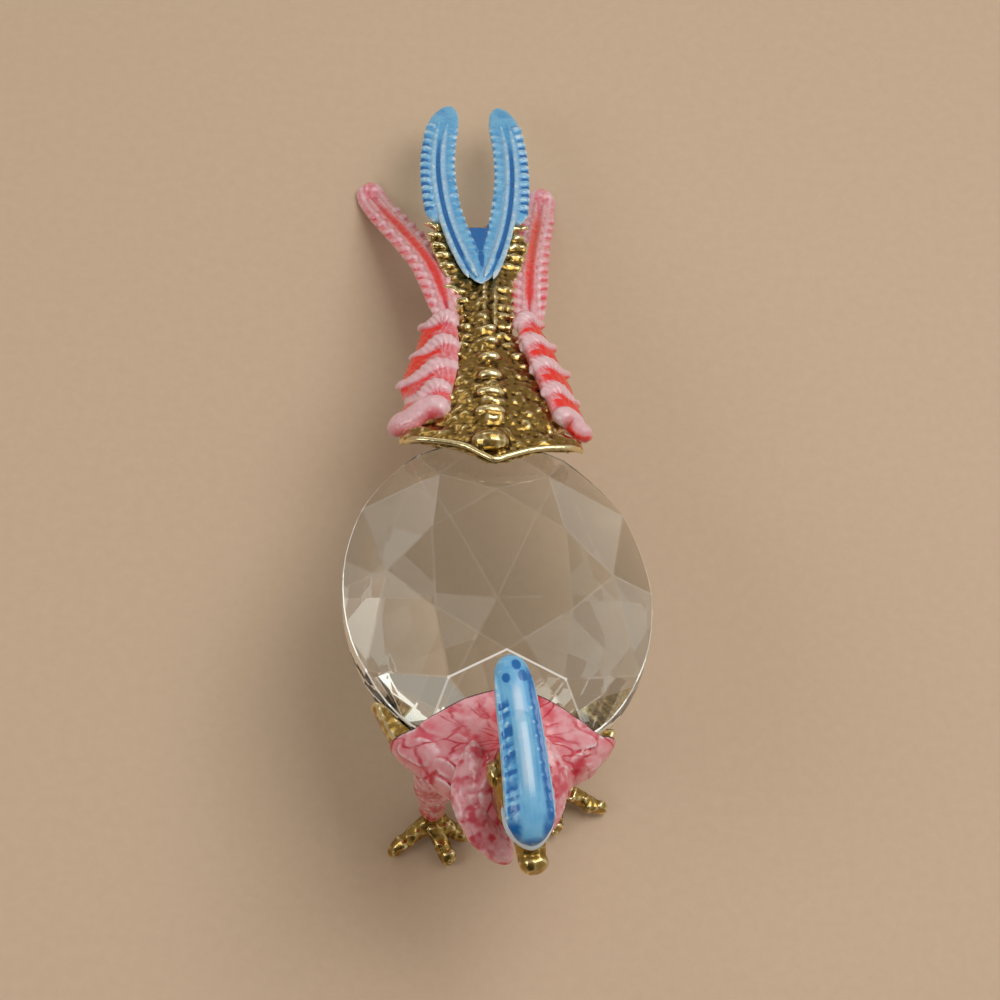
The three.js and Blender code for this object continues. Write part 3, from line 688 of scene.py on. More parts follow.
def prism(name, outline):  # a tool through the stone's whole height
    tool = fresh(name, bpy.ops.mesh.primitive_circle_add, vertices=len(outline), radius=unit, fill_type="NGON")
    for vertex, at in zip(tool.data.vertices, outline):
        vertex.co = at
    editAll(tool, bpy.ops.mesh.extrude_region_move,
            TRANSFORM_OT_translate={"value": bodyUp() * (2 * toolHeight) * unit})
    editAll(tool, bpy.ops.mesh.normals_make_consistent, inside=False)
    return tool


def archTool(name, shift):  # all that lies ahead of the arched edge
    knots = [onBody(x, y - shift, -toolHeight) for x, y in breastLook["arch"]]
    side = breastLook["arch"][-1][0]
    corners = [onBody(side, -toolAhead, -toolHeight), onBody(-side, -toolAhead, -toolHeight)]
    return prism(name, [through(knots, k / 80) for k in range(81)] + corners)


def biteTool():  # a round opening in the cup's floor, under the stone
    low, high = -toolHeight, breastLook["rimTop"]
    tool = fresh("underBite", bpy.ops.mesh.primitive_cylinder_add, vertices=128, radius=breastLook["bite"] * unit,
                 depth=(high - low) * unit, location=onBody(0, breastLook["biteMiddle"], (low + high) / 2),
                 rotation=(-body["lean"], 0, 0))
    bpy.ops.object.transform_apply(location=True, rotation=True, scale=True)
    return tool


def neckTube(name, grow):
    look = breastLook
    foot, top = onBody(0, look["neckAt"], 0), onHead(0, 0, look["throat"])
    rings = []
    for k in range(9):
        t = k / 8
        waist = 1 - look["waist"] * math.sin(math.pi * t)
        rings.append((foot.lerp(top, t), mix(look["neckFoot"], look["neckTop"], t) / 2 * waist + grow,
                      look["neckDepth"] / 2 * waist + grow))
    return tube(name, rings, 24, rearward)


def breastLeaves(base):  # long feathers that spread from the neck, in low relief
    look = breastLook
    rng = random.Random(5)
    foot = onBody(0, look["neckAt"], 2)
    swing, jitter = look["leafSwing"], look["leafJitter"]
    spots = []
    for n, (reach, rise, count, length, width) in enumerate(look["leaves"]):
        for k in range(count):
            turn = math.radians(mix(-swing, swing, (k + 0.5 * (n % 2)) / (count - 0.5)))
            away = Vector((math.sin(turn), -math.cos(turn) * 0.75 + 0.25, 0))
            seed = foot + away * reach * unit + upward * (rise - reach * look["leafFall"]) * unit
            _, at, normal, _ = base.closest_point_on_mesh(seed)
            sway = Vector((rng.uniform(-jitter, jitter), rng.uniform(-jitter, jitter), 0))
            flow = away - upward * look["leafFall"] + sway
            along = flow - normal * flow.dot(normal)
            size = length * rng.uniform(0.8, 1.1), width * rng.uniform(0.85, 1.1)
            if abs(at.x) < look["leafHalf"] * unit:
                at = at - normal * look["leafSink"] * unit
                spots.append((at, along.normalized(), normal, *size, look["leafThick"]))
    return stamp(leaf, spots)


def makeBreast():
    look = breastLook
    core = breastLoft("breastCore", look["core"])
    neckCore = neckTube("neckCore", look["neckCore"])
    rim = breastLoft("breastRim", look["rim"])
    top = look["rimTop"]
    rimTool = block("rimTool", (-toolSide, -toolSide, top - toolHeight), (toolSide, toolSide, top))
    cut(rim, rimTool, "INTERSECT")
    rimEnds = [block("rimEnd", (x, y, -toolHeight), (x + look["rimEndWidth"], toolSide, toolHeight))
               for x, y in look["rimEnds"]]
    for tool in rimEnds:
        cut(rim, tool)
    inner = archTool("archInner", look["archInset"])
    cut(core, inner, "INTERSECT")
    cup = joined("breastGilt", [core, neckCore, rim])
    fuse(cup, 0.15, 4)
    hammer(cup, 0.9, 0.2)
    bite, seat, shell = biteTool(), stoneTool(stoneLook["seat"]), stoneTool(look["shell"])
    cut(cup, bite)
    seats = [prism("cornerSeat", [onBody(x, y, -toolHeight) for x, y in outline]) for outline in look["seats"]]
    for corner in seats:  # gilt under the stone at both ends of the arch, seen through the glass
        cut(corner, shell, "INTERSECT")
        cut(corner, rimTool, "INTERSECT")
    arm = tube("hipArm", [(onBody(*at), *size) for at, size in look["arm"]], 20, bodyUp())  # carries the left leg
    cup = joined("breastGilt", [cup, *seats, arm])
    fuse(cup, 0.15, 2)
    cut(cup, seat)
    markHollows(cup, 14, 0.08)
    settle(cup, gilt, "gilt_metal", "breast_cup")

    coat = joined("breastEnamel", [breastLoft("breastCoat", look["coat"]), neckTube("neckCoat", look["neckCoat"])])
    fuse(coat, 0.3, 6)
    coat = joined("breastEnamel", [coat, *breastLeaves(coat)])
    fuse(coat, 0.12, 4)
    arch = archTool("arch", 0)
    cut(coat, arch, "INTERSECT")
    cut(coat, bite)
    cut(coat, shell)
    markHollows(coat, 12, 0.06)
    co = coords(coat)
    away = (co - np.array(onBody(0, look["neckAt"], 5))) / unit
    reach = np.linalg.norm(away, axis=1)
    turn = np.arctan2(away[:, 0], -away[:, 1])
    markFlow(coat, turn * 6.5, reach * 0.42)  # the net of veins runs out from the neck
    near = fall(reach, 2.5, 7.5)
    x, y, height = stoneAxes(co)
    edge = y - np.interp(x, *zip(*look["arch"]))
    # the dark line just inside the arched edge is a painted shadow
    mark(coat, accent=near * 0.3, blotch=0.3 + near * 0.6, lines=1, milk=fall(height, -4.5, 1.5) * 0.25,
         dusk=ease(edge, -0.2, -0.06) * (height > look["rimTop"]) * 0.8)
    settle(coat, pink, "pink_enamel", "breast_enamel")
    discard(rimTool, *rimEnds, inner, bite, shell, seat, arch)


# Head: skull, eyes, beak and the strip under the crest
headLook = {
    "skull": (5.0, 10, 6.6), "eye": (2.15, 1.4, 0.8), "eyeSize": (1.6, 2.75, 2.2),
    "beak": [(0.2, -3.5, 0.1), (0.3, -5.9, 0.2), (0.4, -6.9, -1.5)], "beakWidth": (3.0, 2.5), "beakDepth": 0.82,
    "beakTip": 0.75, "knob": (0.4, -6.7, -0.6), "knobSize": (2.8, 2.4, 2.1),
    "jaw": [(0.2, -3.2, -1.2), (0.3, -5.2, -1.4), (0.4, -6.3, -2.3)], "jawWidth": (2.4, 1.4), "jawDepth": 1.1,
    "nape": (3.2, 2.2), "napeDrop": 1.5}
crestLook = {
    "line": [(-6.3, 2.2), (-1.08, 5.8), (11.1, 5.2)], "width": (4.9, 3.6), "thick": (2.8, 2.1), "core": 0.92,
    "ends": (0.25, 0.1), "ridge": (0.08, 0.86), "ridgeLift": (0.95, 0.2), "ridgeSize": (2.0, 1.0),
    "lip": [(-2.2, -2.4, 2.5), (-1.6, -4.75, 1.95), (0.1, -6.15, 1.75), (1.7, -4.75, 1.95), (2.2, -2.4, 2.5)],
    "lipSize": (0.8, 1.0), "rim": (0.03, 0.92), "rimInset": 0.35, "rimSize": (0.75, 0.8), "lift": 0.35,
    "ribs": 9, "ribReach": (0.2, 0.74), "ribInset": 0.8, "ribSweep": 0.5, "ribSize": (1.7, 0.8, 1.35),
    "dots": [(0.935, -0.35, 0.42), (0.885, -0.8, 0.45), (0.88, 0.75, 0.36)]}  # share along, side and size


def crestLine(drop):
    ends = [onHead(0, y, z - drop) for y, z in crestLook["line"]]
    return lambda t: bezier(*ends, t)


def ball(name, at, sizes):  # in the turned head
    piece = fresh(name, bpy.ops.mesh.primitive_uv_sphere_add, segments=28, ring_count=18, radius=0.5)
    scale = Matrix.Diagonal((*[s * unit for s in sizes], 1))
    piece.data.transform(Matrix.Translation(onHead(*at)) @ Matrix.Rotation(headAt["turn"], 4, "Z") @ scale)
    return piece


def makeHead():
    look = headLook
    x, y, z = look["eye"]
    parts = [ball("skull", (0, 0, 0), look["skull"])]
    parts += [ball("eye", (side * x, y, z), look["eyeSize"]) for side in (right, left)]
    beak, jaw = ([onHead(*at) for at in look[key]] for key in ("beak", "jaw"))
    rings = []
    for k in range(9):
        t = k / 8
        size = mix(*look["beakWidth"], t) / 2 * (1 if k < 8 else look["beakTip"])
        rings.append((bezier(*beak, t), size, size * look["beakDepth"]))
    parts += [tube("beak", rings, 16), ball("beakKnob", look["knob"], look["knobSize"]),
              strand("beakUnder", lambda t: bezier(*jaw, t), 8, lambda t: mix(*look["jawWidth"], t),
                     look["jawDepth"], 14),
              strand("nape", crestLine(look["napeDrop"]), 14, *look["nape"], 18, start=0.3, end=0.3)]
    piece = joined("headGilt", parts)
    fuse(piece, 0.1, 3)
    hammer(piece, 0.9, 0.18)
    soften(piece, 1)
    markHollows(piece, 12, 0.06)
    settle(piece, gilt, "gilt_metal", "head_casting")


def crestWays(line, t):  # ahead, and across to the side
    ahead = (line(min(1, t + 0.02)) - line(max(0, t - 0.02))).normalized()
    return ahead, ahead.cross(upward).normalized()


def rimLine(line, hand, t):
    look = crestLook
    t = mix(*look["rim"], t)
    _, side = crestWays(line, t)
    half = mix(*look["width"], t) / 2 * rounded(t, *look["ends"])
    return line(t) + side * hand * (half - look["rimInset"]) * unit + upward * look["lift"] * unit


def makeCrest():
    look = crestLook
    line, lip = crestLine(0), [onHead(*at) for at in look["lip"]]
    lift = lambda t: upward * mix(*look["ridgeLift"], float(ease(t, 0.7, 1))) * unit
    parts = [strand("crestBase", line, 44, lambda t: mix(*look["width"], t) * look["core"],
                    lambda t: mix(*look["thick"], t), 28, upward, *look["ends"]),
             strand("crestRidge", lambda t: line(mix(*look["ridge"], t)) + lift(t), 24, *look["ridgeSize"], 14),
             strand("crestLip", lambda t: through(lip, t), 24, *look["lipSize"], 12)]
    for hand in (right, left):
        parts.append(strand("crestRim", lambda t: rimLine(line, hand, t), 26, *look["rimSize"], 12))
    low, high = look["ribReach"]
    spots = []
    for k in range(look["ribs"]):
        t = mix(low, high, k / (look["ribs"] - 1))
        ahead, side = crestWays(line, t)
        for hand in (right, left):
            out = side * hand
            at = line(t) + out * (mix(*look["width"], t) / 2 - look["ribInset"]) * unit
            at += upward * look["lift"] * unit
            spots.append((at, out - ahead * look["ribSweep"], upward, *look["ribSize"]))
    piece = joined("crestEnamel", parts + stamp(leaf, spots))
    fuse(piece, 0.1, 3)
    markHollows(piece, 10, 0.05)
    co = coords(piece)
    share, across, above = followLine(co, line)
    edge = np.abs(across) / (np.interp(share, [0, 1], look["width"]) / 2)
    top = ease(above, -0.5, 0)
    beat = (share - low) * (look["ribs"] - 1) / (high - low) + (edge - 0.7) * 0.6 + 0.2 * np.sin(share * 43)
    notch = ease(np.cos(2 * np.pi * (beat - 0.5)), -0.75, 0.2) * within(edge, (0.34, 0.5), (0.84, 0.98))
    notch *= within(share, (0.13, 0.19), (0.76, 0.84)) * (0.7 + 0.25 * np.sin(share * 61))
    stripe = within(edge, (0.46, 0.72), (0.86, 0.98)) * fall(share, 0.88, 0.96)
    sides = np.where(across > 0, notch, stripe * 0.75)  # notches on one side, a stripe on the other
    patch = fall(share, 0.1, 0.27) * within(edge, (0.2, 0.6), (0.85, 0.98))
    nose = fall(share, 0.02, 0.1) * 0.7
    spot = np.zeros(len(co))
    for along, aside, size in look["dots"]:
        spot = np.maximum(spot, ease(-np.hypot((share - along) * 18, across - aside), -size - 0.12, -size + 0.1))
    off = np.min([np.linalg.norm(co - np.array(through(lip, k / 40)), axis=1) for k in range(41)], axis=0) / unit
    rim = fall(off, 0.45, 0.62)
    # painted highlight: a pale band along the middle of the crest's top, laid into the milky layer
    glow = fall(edge, 0.1, 0.4) * within(share, (0.25, 0.4), (0.8, 0.9)) * top
    mark(piece, accent=np.maximum.reduce([sides, patch * 0.85, nose, spot * 0.9]) * top * (1 - rim),
         milk=np.maximum(rim, glow * 0.42))
    settle(piece, blue, "blue_enamel", "crest")


# Ruffs: scaled lobes beside the neck
ruffLook = {
    "length": {"right": 1.0, "left": 0.66}, "spread": {"right": 1.0, "left": 0.84}, "thick": 2.2,
    "width": [(0, 3.2), (0.3, 4.1), (0.6, 3.6), (0.85, 2.6), (1, 2.0)],
    "knots": [(3.3, 6.0, -1.5), (3.9, 1.7, -2.5), (3.3, -1.1, -3.9), (1.9, -3.0, -5.3), (0.8, -4.4, -6.5)]}


def makeRuff(side, word):
    look = ruffLook
    length = look["length"][word]
    whole = [onHead(side * x * look["spread"][word], y, z) for x, y, z in look["knots"]]
    line = lambda t: through(whole, t * length)
    width = lambda t: readAt(look["width"], t) * mix(0.6, 1, length)
    piece = strand(word + "RuffEnamel", line, 24, width, look["thick"], 28, start=0.35, end=0.2)
    fuse(piece, 0.12, 3)
    hammer(piece, 1.6, 0.3, "CLOUDS")
    soften(piece, 3)
    markHollows(piece, 10, 0.05)
    share, across, _ = followLine(coords(piece), line)
    markFlow(piece, across, share * 4)
    mark(piece, accent=0.12 + ease(share, 0.85, 1) * 0.1, blotch=1, lines=0.5, milk=fall(share, 0.5, 0.9) * 0.15)
    settle(piece, pink, "pink_enamel", word + "_ruff")


# Tail casting: the CAD cup with bars along its spine, hammered scales, rungs and a rolled lip
tailLook = {
    "top": [(-6.4, 5), (2.4, 5), (12, 3.5), (30.5, 1.1)],
    "halfWidth": [(-6.4, 8.7), (2.4, 8.7), (7, 6.2), (12, 3.6), (21.25, 3.6), (30.5, 5.3)],
    "drift": (-0.4, 0.9), "driftFrom": 15.7, "driftLength": 24, "lip": 0.31,
    "lipKnots": [(-8.7, 17.3, 3.2), (-7.2, 16.4, 4.6), (-3.3, 15.4, 5.1), (-1.3, 14.1, 5.25), (0, 13.4, 5.25),
                 (1.5, 14.0, 5.25), (4.0, 15.0, 5.1), (7.3, 15.8, 4.6), (8.8, 16.8, 3.2)],
    "apron": {"back": 1.2, "drop": 0.7, "size": (1.3, 0.5)},
    "seat": {"along": (34, 37, 40, 43), "drop": 0.6, "size": (2.5, 0.8)},
    "plate": {"side": 0.3, "drop": 0.35, "thick": 0.4, "widths": [(40, 3.2), (43, 4.2), (46, 5.2), (48.8, 5.8)]},
    # place along the spine, then length, width and thickness
    "bars": [(15.7, 3.9, 2.5, 2.9), (19.8, 3.2, 1.5, 1.9), (22.4, 3.0, 1.4, 1.8), (25.2, 2.6, 1.3, 1.7),
             (28.2, 2.3, 1.2, 1.6), (30.9, 2.0, 1.1, 1.5), (33.0, 1.5, 1.0, 1.3)], "barLift": 0.15,
    "ridge": {"along": (33, 42), "side": 0.55, "lift": 0.1, "size": (0.6, 0.8)},
    "scales": {"count": 70, "inner": 1.9, "outer": {right: 4, left: 6.2}, "along": (-4, 8), "range": (0.45, 0.9),
               "swing": 1.5, "sink": 0.08, "shape": (2.2, 1.3, 0.5)},
    "rungs": {"along": (8, 21), "pitch": 1.5, "inset": 1.0, "sweep": 0.3, "size": (3.0, 0.95, 0.6)},
    "barbs": {"reach": (0.15, 0.37), "count": 5, "out": 1.2, "drop": 0.68, "sweep": 0.3, "size": (2.4, 0.8, 0.85)},
    "rail": {"reach": (0.1, 0.39), "middle": 0.26, "out": 0.5, "drop": 1.0, "size": (1.4, 0.8)}}


def tailTop(y):
    return readAt(tailLook["top"], y - body["rear"])


def spineAt(y, lift):  # the spine drifts a little to the bird's left
    aside = mix(*tailLook["drift"], (y - tailLook["driftFrom"]) / tailLook["driftLength"])
    return onBody(aside, y, tailTop(y) + lift)


def dropOn(piece, x, y):  # where a point over the casting lands
    hit, at, normal, _ = piece.ray_cast(onBody(x, y, 12), -bodyUp())
    return (at, normal) if hit and normal.dot(bodyUp()) > 0.2 else (None, None)


def tailScales(base):  # crumpled scales behind the lip
    look = tailLook["scales"]
    rng = random.Random(11)
    swing = look["swing"]
    spots = []
    for _ in range(look["count"]):
        hand = rng.choice((right, left))
        x, y = rng.uniform(look["inner"], look["outer"][hand]), rng.uniform(*look["along"])
        at, normal = dropOn(base, hand * x, body["rear"] + y)
        if at is not None:
            size = rng.uniform(*look["range"])
            along = bodyBack() + Vector((hand * rng.uniform(-swing, swing), 0, 0))
            spots.append((at - normal * look["sink"] * unit, along, normal, *[v * size for v in look["shape"]]))
    return stamp(leaf, spots)


def tailRungs(base):  # along both edges
    look = tailLook["rungs"]
    spots = []
    for along in np.arange(*look["along"], look["pitch"]):
        reach = readAt(tailLook["halfWidth"], along) - look["inset"]
        for hand in (right, left):
            at, normal = dropOn(base, hand * reach, body["rear"] + along)
            if at is not None:
                way = Vector((hand, look["sweep"], 0))
                spots.append((at, way - normal * way.dot(normal), normal, *look["size"]))
    return stamp(bar, spots)


def forkBarbs(side):  # gilt barbs on a rail beside the fork's narrow foot
    look, rail = tailLook["barbs"], tailLook["rail"]
    line, up = forkLine(side), bodyUp()
    outward = lambda t: turned(line(t + 0.02) - line(t - 0.02), up).col[0] * -side
    shift = (outward(rail["middle"]) * rail["out"] - up * rail["drop"]) * unit
    spots = []
    for t in np.linspace(*look["reach"], look["count"]):
        at = line(t) + (outward(t) * look["out"] - up * look["drop"]) * unit
        spots.append((at, outward(t) + bodyBack() * look["sweep"], up, *look["size"]))
    return [strand("barbRail", lambda t: line(mix(*rail["reach"], t)) + shift, 12, *rail["size"], 12, up),
            *stamp(bar, spots)]


def makeTail():
    look = tailLook
    up, back = bodyUp(), bodyBack()
    apron, seat, plate, ridge = (look[key] for key in ("apron", "seat", "plate", "ridge"))
    knots = [onBody(*knot) for knot in look["lipKnots"]]
    edge = [through(knots, k / 40) for k in range(41)]
    hem = (back * apron["back"] - up * apron["drop"]) * unit
    base = castCopy("tail_casting", "tailBase")
    fuse(base, 0.35, 12)
    base = joined("tailBase", [
        base, tube("tailApron", [(p + hem, *apron["size"]) for p in edge], 14, up),
        tube("forkSeat", [(spineAt(y, -seat["drop"]), *seat["size"]) for y in seat["along"]], 16, up),
        tube("combPlate", [(onBody(plate["side"], y, tailTop(y) - plate["drop"]), half, plate["thick"])
                           for y, half in plate["widths"]], 20, up)])
    fuse(base, 0.2, 4)
    parts = [base, *tailScales(base), *tailRungs(base), *forkBarbs(right), *forkBarbs(left)]
    for hand in (right, left):
        aside = Vector((hand * ridge["side"] * unit, 0, 0))
        line = lambda t: spineAt(mix(*ridge["along"], t), ridge["lift"]) + aside
        parts.append(strand("spineRidge", line, 16, *ridge["size"], 10, up))
    base = joined("tailGilt", parts)
    fuse(base, 0.14, 1)
    hammer(base, 1.1, 0.5, "CLOUDS")
    hammer(base, 0.45, 0.3, "CLOUDS")
    lip = tube("tailLip", [(p, look["lip"], look["lip"]) for p in edge], 14, back)
    spine = [(spineAt(y, look["barLift"]), Vector((1, 0, 0)), up, *size) for y, *size in look["bars"]]
    piece = joined("tailGilt", [base, lip, *stamp(bar, spine)])
    fuse(piece, 0.14, 1)
    markHollows(piece, 14, 0.08)
    settle(piece, gilt, "gilt_metal", "tail_casting")


# Feathers: a vane with two ridges along its quill and blunt barbs to both sides
vaneLook = {"setbackEnd": (0.37, 0.41), "core": 0.66, "ridgeWidth": 1.5, "ridgeDepth": 0.36, "ridgeLift": 0.28,
            "barbOut": 0.31, "barbLift": 0.2, "barbLength": 0.4, "barbDroop": 0.12}


def featherPiece(name, line, look, up, outer=0):  # outer is the side that is set back along the foot
    vane, thick, tilt = vaneLook, look["thick"], look["lean"]
    setback = lambda t: look["setback"] * float(fall(t, *vane["setbackEnd"])) * abs(outer)
    span = lambda t: look["width"] * mix(1, look["taper"], t)
    axes = lambda t: turned(line(min(1, t + 0.015)) - line(max(0, t - 0.015)), up)
    middle = lambda t: line(t) - axes(t).col[0] * outer * setback(t) / 2 * unit
    parts = [strand(name + "Vane", middle, 48, lambda t: span(t) - setback(t), thick * vane["core"], 24, up,
                    look["start"], look["end"], look["square"])]
    for hand in (-1, 1):
        def ridge(t):
            t = mix(0.02, look["ridgeEnd"], t)
            grid = axes(t)
            return line(t) + (grid.col[0] * hand * look["ridge"] + grid.col[1] * thick * vane["ridgeLift"]) * unit
        parts.append(strand(name + "Ridge", ridge, 28, look["ridge"] * vane["ridgeWidth"],
                            thick * vane["ridgeDepth"], 12, up, 0.1, 0.25))
    spots = []
    for k in range(look["barbs"]):
        t = mix(*look["reach"], (k + 0.5) / look["barbs"])
        grid = axes(t)
        size = rounded(t, look["start"], look["end"])
        for hand in (-1, 1):
            if hand == outer and setback(t) > 0.1:
                continue
            out, over = grid.col[0] * hand, grid.col[1]
            along = out * math.sin(tilt) + grid.col[2] * math.cos(tilt) - over * vane["barbDroop"]
            at = line(t) + (out * span(t) * vane["barbOut"] * size + over * thick * vane["barbLift"] * size) * unit
            length = span(t) * vane["barbLength"] * size / math.sin(tilt)
            depth = thick * look["barbThick"] * size * (1 if hand == outer else look["innerThick"])
            spots.append((at, along, over, length, look["barbWidth"], depth))
    return joined(name, parts + stamp(bar, spots))


def barbSlots(share, across, look):  # peaks between the barbs
    low, high = look["reach"]
    shift = (np.abs(across) - vaneLook["barbOut"] * look["width"]) / math.tan(look["lean"]) / look["length"]
    return np.cos(2 * np.pi * ((share - shift - low) / (high - low) * look["barbs"]))


forkLook = {
    "width": 4.5, "thick": 1.5, "taper": 0.78, "square": 0.6, "start": 0.3, "end": 0.16, "setback": 1.4,
    "ridge": 0.46, "ridgeEnd": 0.9, "barbs": 20, "barbWidth": 0.9, "barbThick": 0.52, "innerThick": 0.6,
    "reach": (0.04, 0.88), "lean": math.radians(74), "root": 19.9, "length": 29.7, "lift": 1.05, "sink": 0.4,
    "drift": 0.7, "spread": {right: [(0, 0.6), (0.3, 3.05), (0.6, 4.25), (0.82, 3.8), (1, 2.6)],
                             left: [(0, 0.6), (0.3, 2.9), (0.6, 3.9), (0.82, 3.5), (1, 2.6)]},
    "web": [(42.5, 0.15), (45, 0.4), (47, 0.85), (49, 1.4), (49.4, 1.6)],
    "webSide": 0.25, "webLift": 0.6, "webThick": 0.5,
    "webPaint": [(42.5, 0.12), (44.5, 0.34), (45.4, 0.22), (49.6, 1.15)]}


def forkLine(side):
    look = forkLook
    sweep = np.polyfit(*zip(*look["spread"][side]), 3)
    knots = []
    for share in np.linspace(0, 1, 9):
        y = body["rear"] + (look["root"] + look["length"] * share)
        lift = look["lift"] * (1 - 0.5 * share) - look["sink"] * float(fall(share, 0.1, 0.45))
        aside = side * float(np.polyval(sweep, share)) + look["drift"] * share
        knots.append(onBody(aside, y, tailTop(y) + lift))
    return lambda t: through(knots, t)


def makeFork():
    look, up = forkLook, bodyUp()
    parts = [featherPiece("fork" + word, forkLine(side), look, up, -side)
             for side, word in ((right, "Right"), (left, "Left"))]
    web = [(onBody(look["webSide"], y, tailTop(y) + look["webLift"]), half, look["webThick"])
           for y, half in look["web"]]
    piece = joined("forkEnamel", [*parts, tube("forkWeb", web, 16, up)])
    fuse(piece, 0.1, 2)
    hammer(piece, 0.9, 0.1, "CLOUDS")
    markHollows(piece, 10, 0.06)
    co = coords(piece)
    accent, milk, best = np.zeros(len(co)), np.zeros(len(co)), np.full(len(co), 9.0)
    for side in (right, left):
        share, across, above = followLine(co, forkLine(side), up)
        off = np.hypot(across, above)
        mine = off < best
        best = np.where(mine, off, best)
        wide = np.abs(across) / (look["width"] / 2 * np.interp(share, [0, 1], [1, look["taper"]]))
        outer = across * -side > 0
        quill = fall(wide, 0.06, 0.18) * within(share, (0.1, 0.16), (0.62, 0.88)) * (above > 0)
        slot = ease(barbSlots(share, across, look), 0, 0.75) * fall(wide, 0.94, 1.03) * fall(share, 0.72, 0.88)
        slot *= np.where(outer, ease(wide, 0.46, 0.62) * ease(share, 0.4, 0.42),
                         ease(wide, 0.72, 0.88) * 0.45 * ease(share, 0.12, 0.2))
        accent = np.where(mine, np.maximum(quill * 0.95, slot), accent)
        ridge = ease(-np.abs(wide - 0.32), -0.26, -0.08) * fall(share, 0.75, 0.95) * (above > 0)
        rim = ease(wide, 0.9, 1.0) * fall(share, 0.7, 0.9)
        milk = np.where(mine, np.maximum(ridge * 0.32, rim * 0.2), milk)
    x, y, _ = stoneAxes(co)
    half = np.interp(y, *zip(*look["webPaint"]))
    web = fall(np.abs(x - look["webSide"]), half - 0.12, half + 0.1) * within(y, (42.2, 42.8), (49.7, 50.2))
    mark(piece, accent=np.maximum(accent, web * 0.95), milk=milk * (1 - web), blotch=0.3)
    settle(piece, blue, "blue_enamel", "forked_tail")


sideLook = {
    "width": 4.4, "thick": 1.5, "taper": 0.68, "square": 0.7, "start": 0.3, "end": 0.2, "setback": 0,
    "ridge": 0.5, "ridgeEnd": 0.74, "barbs": 13, "barbWidth": 1.1, "barbThick": 0.6, "innerThick": 1,
    "reach": (0.04, 0.62), "lean": math.radians(52), "length": 30, "root": (33, 2.7), "tip": (61.4, 0.75),
    "spread": {right: (3.1, 10.8), left: (4.7, 8.7)}, "landing": 4, "landingHeight": 1.15,
    "bend": 0.4, "bendLift": 0.8}


def sideLine(side):
    look = sideLook
    root, tip = look["spread"][side]
    foot, end = onBody(side * root, *look["root"]), place(side * tip, *look["tip"])
    landing = end + (foot - end).normalized() * look["landing"] * unit
    landing.z = look["landingHeight"] * unit
    bend = foot.lerp(end, look["bend"])
    bend.x = side * mix(root, tip, 0.25) * unit
    bend.z += look["bendLift"] * unit
    return lambda t: through([foot, bend, landing, end], t)


def makeSideFeather(side, word):
    look, line = sideLook, sideLine(side)
    piece = featherPiece(word + "FeatherEnamel", line, look, upward)
    fuse(piece, 0.1, 2)
    hammer(piece, 1.0, 0.16, "CLOUDS")
    setOnFloor(piece)
    markHollows(piece, 10, 0.06)
    share, across, above = followLine(coords(piece), line)
    wide = np.abs(across)
    quill = fall(wide, 0.3, 0.75) * (above > 0) * within(share, (0.08, 0.2), (0.52, 0.72))
    slot = ease(barbSlots(share, across, look), 0.2, 0.95) * ease(wide, 0.8, 1.2) * fall(share, 0.55, 0.66)
    edge, tip = ease(wide, 1.35, 1.75) * 0.3, ease(share, 0.93, 1) * 0.5
    mark(piece, accent=np.maximum.reduce([quill * 0.62, slot * 0.4, edge, tip]),
         milk=ease(-np.abs(wide - 1.0), -0.4, -0.1) * 0.45 * (above > 0), blotch=ease(share, 0.4, 0.7) * 0.5)
    settle(piece, pink, "pink_enamel", word + "_side_feather")


# Wings: a stack of pleated flounces
wingLook = {
    # inner and outer end of each flounce, from the front
    "right": [((4.1, 20.3), (10.0, 20.8)), ((3.8, 23.3), (8.5, 23.6)), ((2.9, 26.6), (9.3, 26.4)),
              ((2.6, 30.0), (7.8, 30.6)), ((2.6, 33.4), (6.7, 35.0))],
    "left": [((6.4, 19.4), (10.1, 20.5)), ((5.2, 22.8), (9.6, 24.8)), ((4.2, 26.2), (8.9, 29.0)),
             ((3.5, 29.6), (7.7, 32.8)), ((3.2, 33.0), (6.5, 36.2))],
    "innerTop": (4.9, 3.6), "outerTop": 1.3, "crown": ((0.35, 0.7, 1), (0.7, 0.5, -1)), "wave": 0.4, "flat": 0.85,
    "roll": [(0, 1.6), (0.35, 2.3), (0.8, 1.3)], "hem": {"right": 2.7, "left": 2.3}, "pleats": 11, "pleat": 0.035,
    "pad": 1.1, "padMiddle": 0.48, "padReach": 0.47, "padEnd": 0.8, "redFrom": {"right": 0.3, "left": 0.1}}


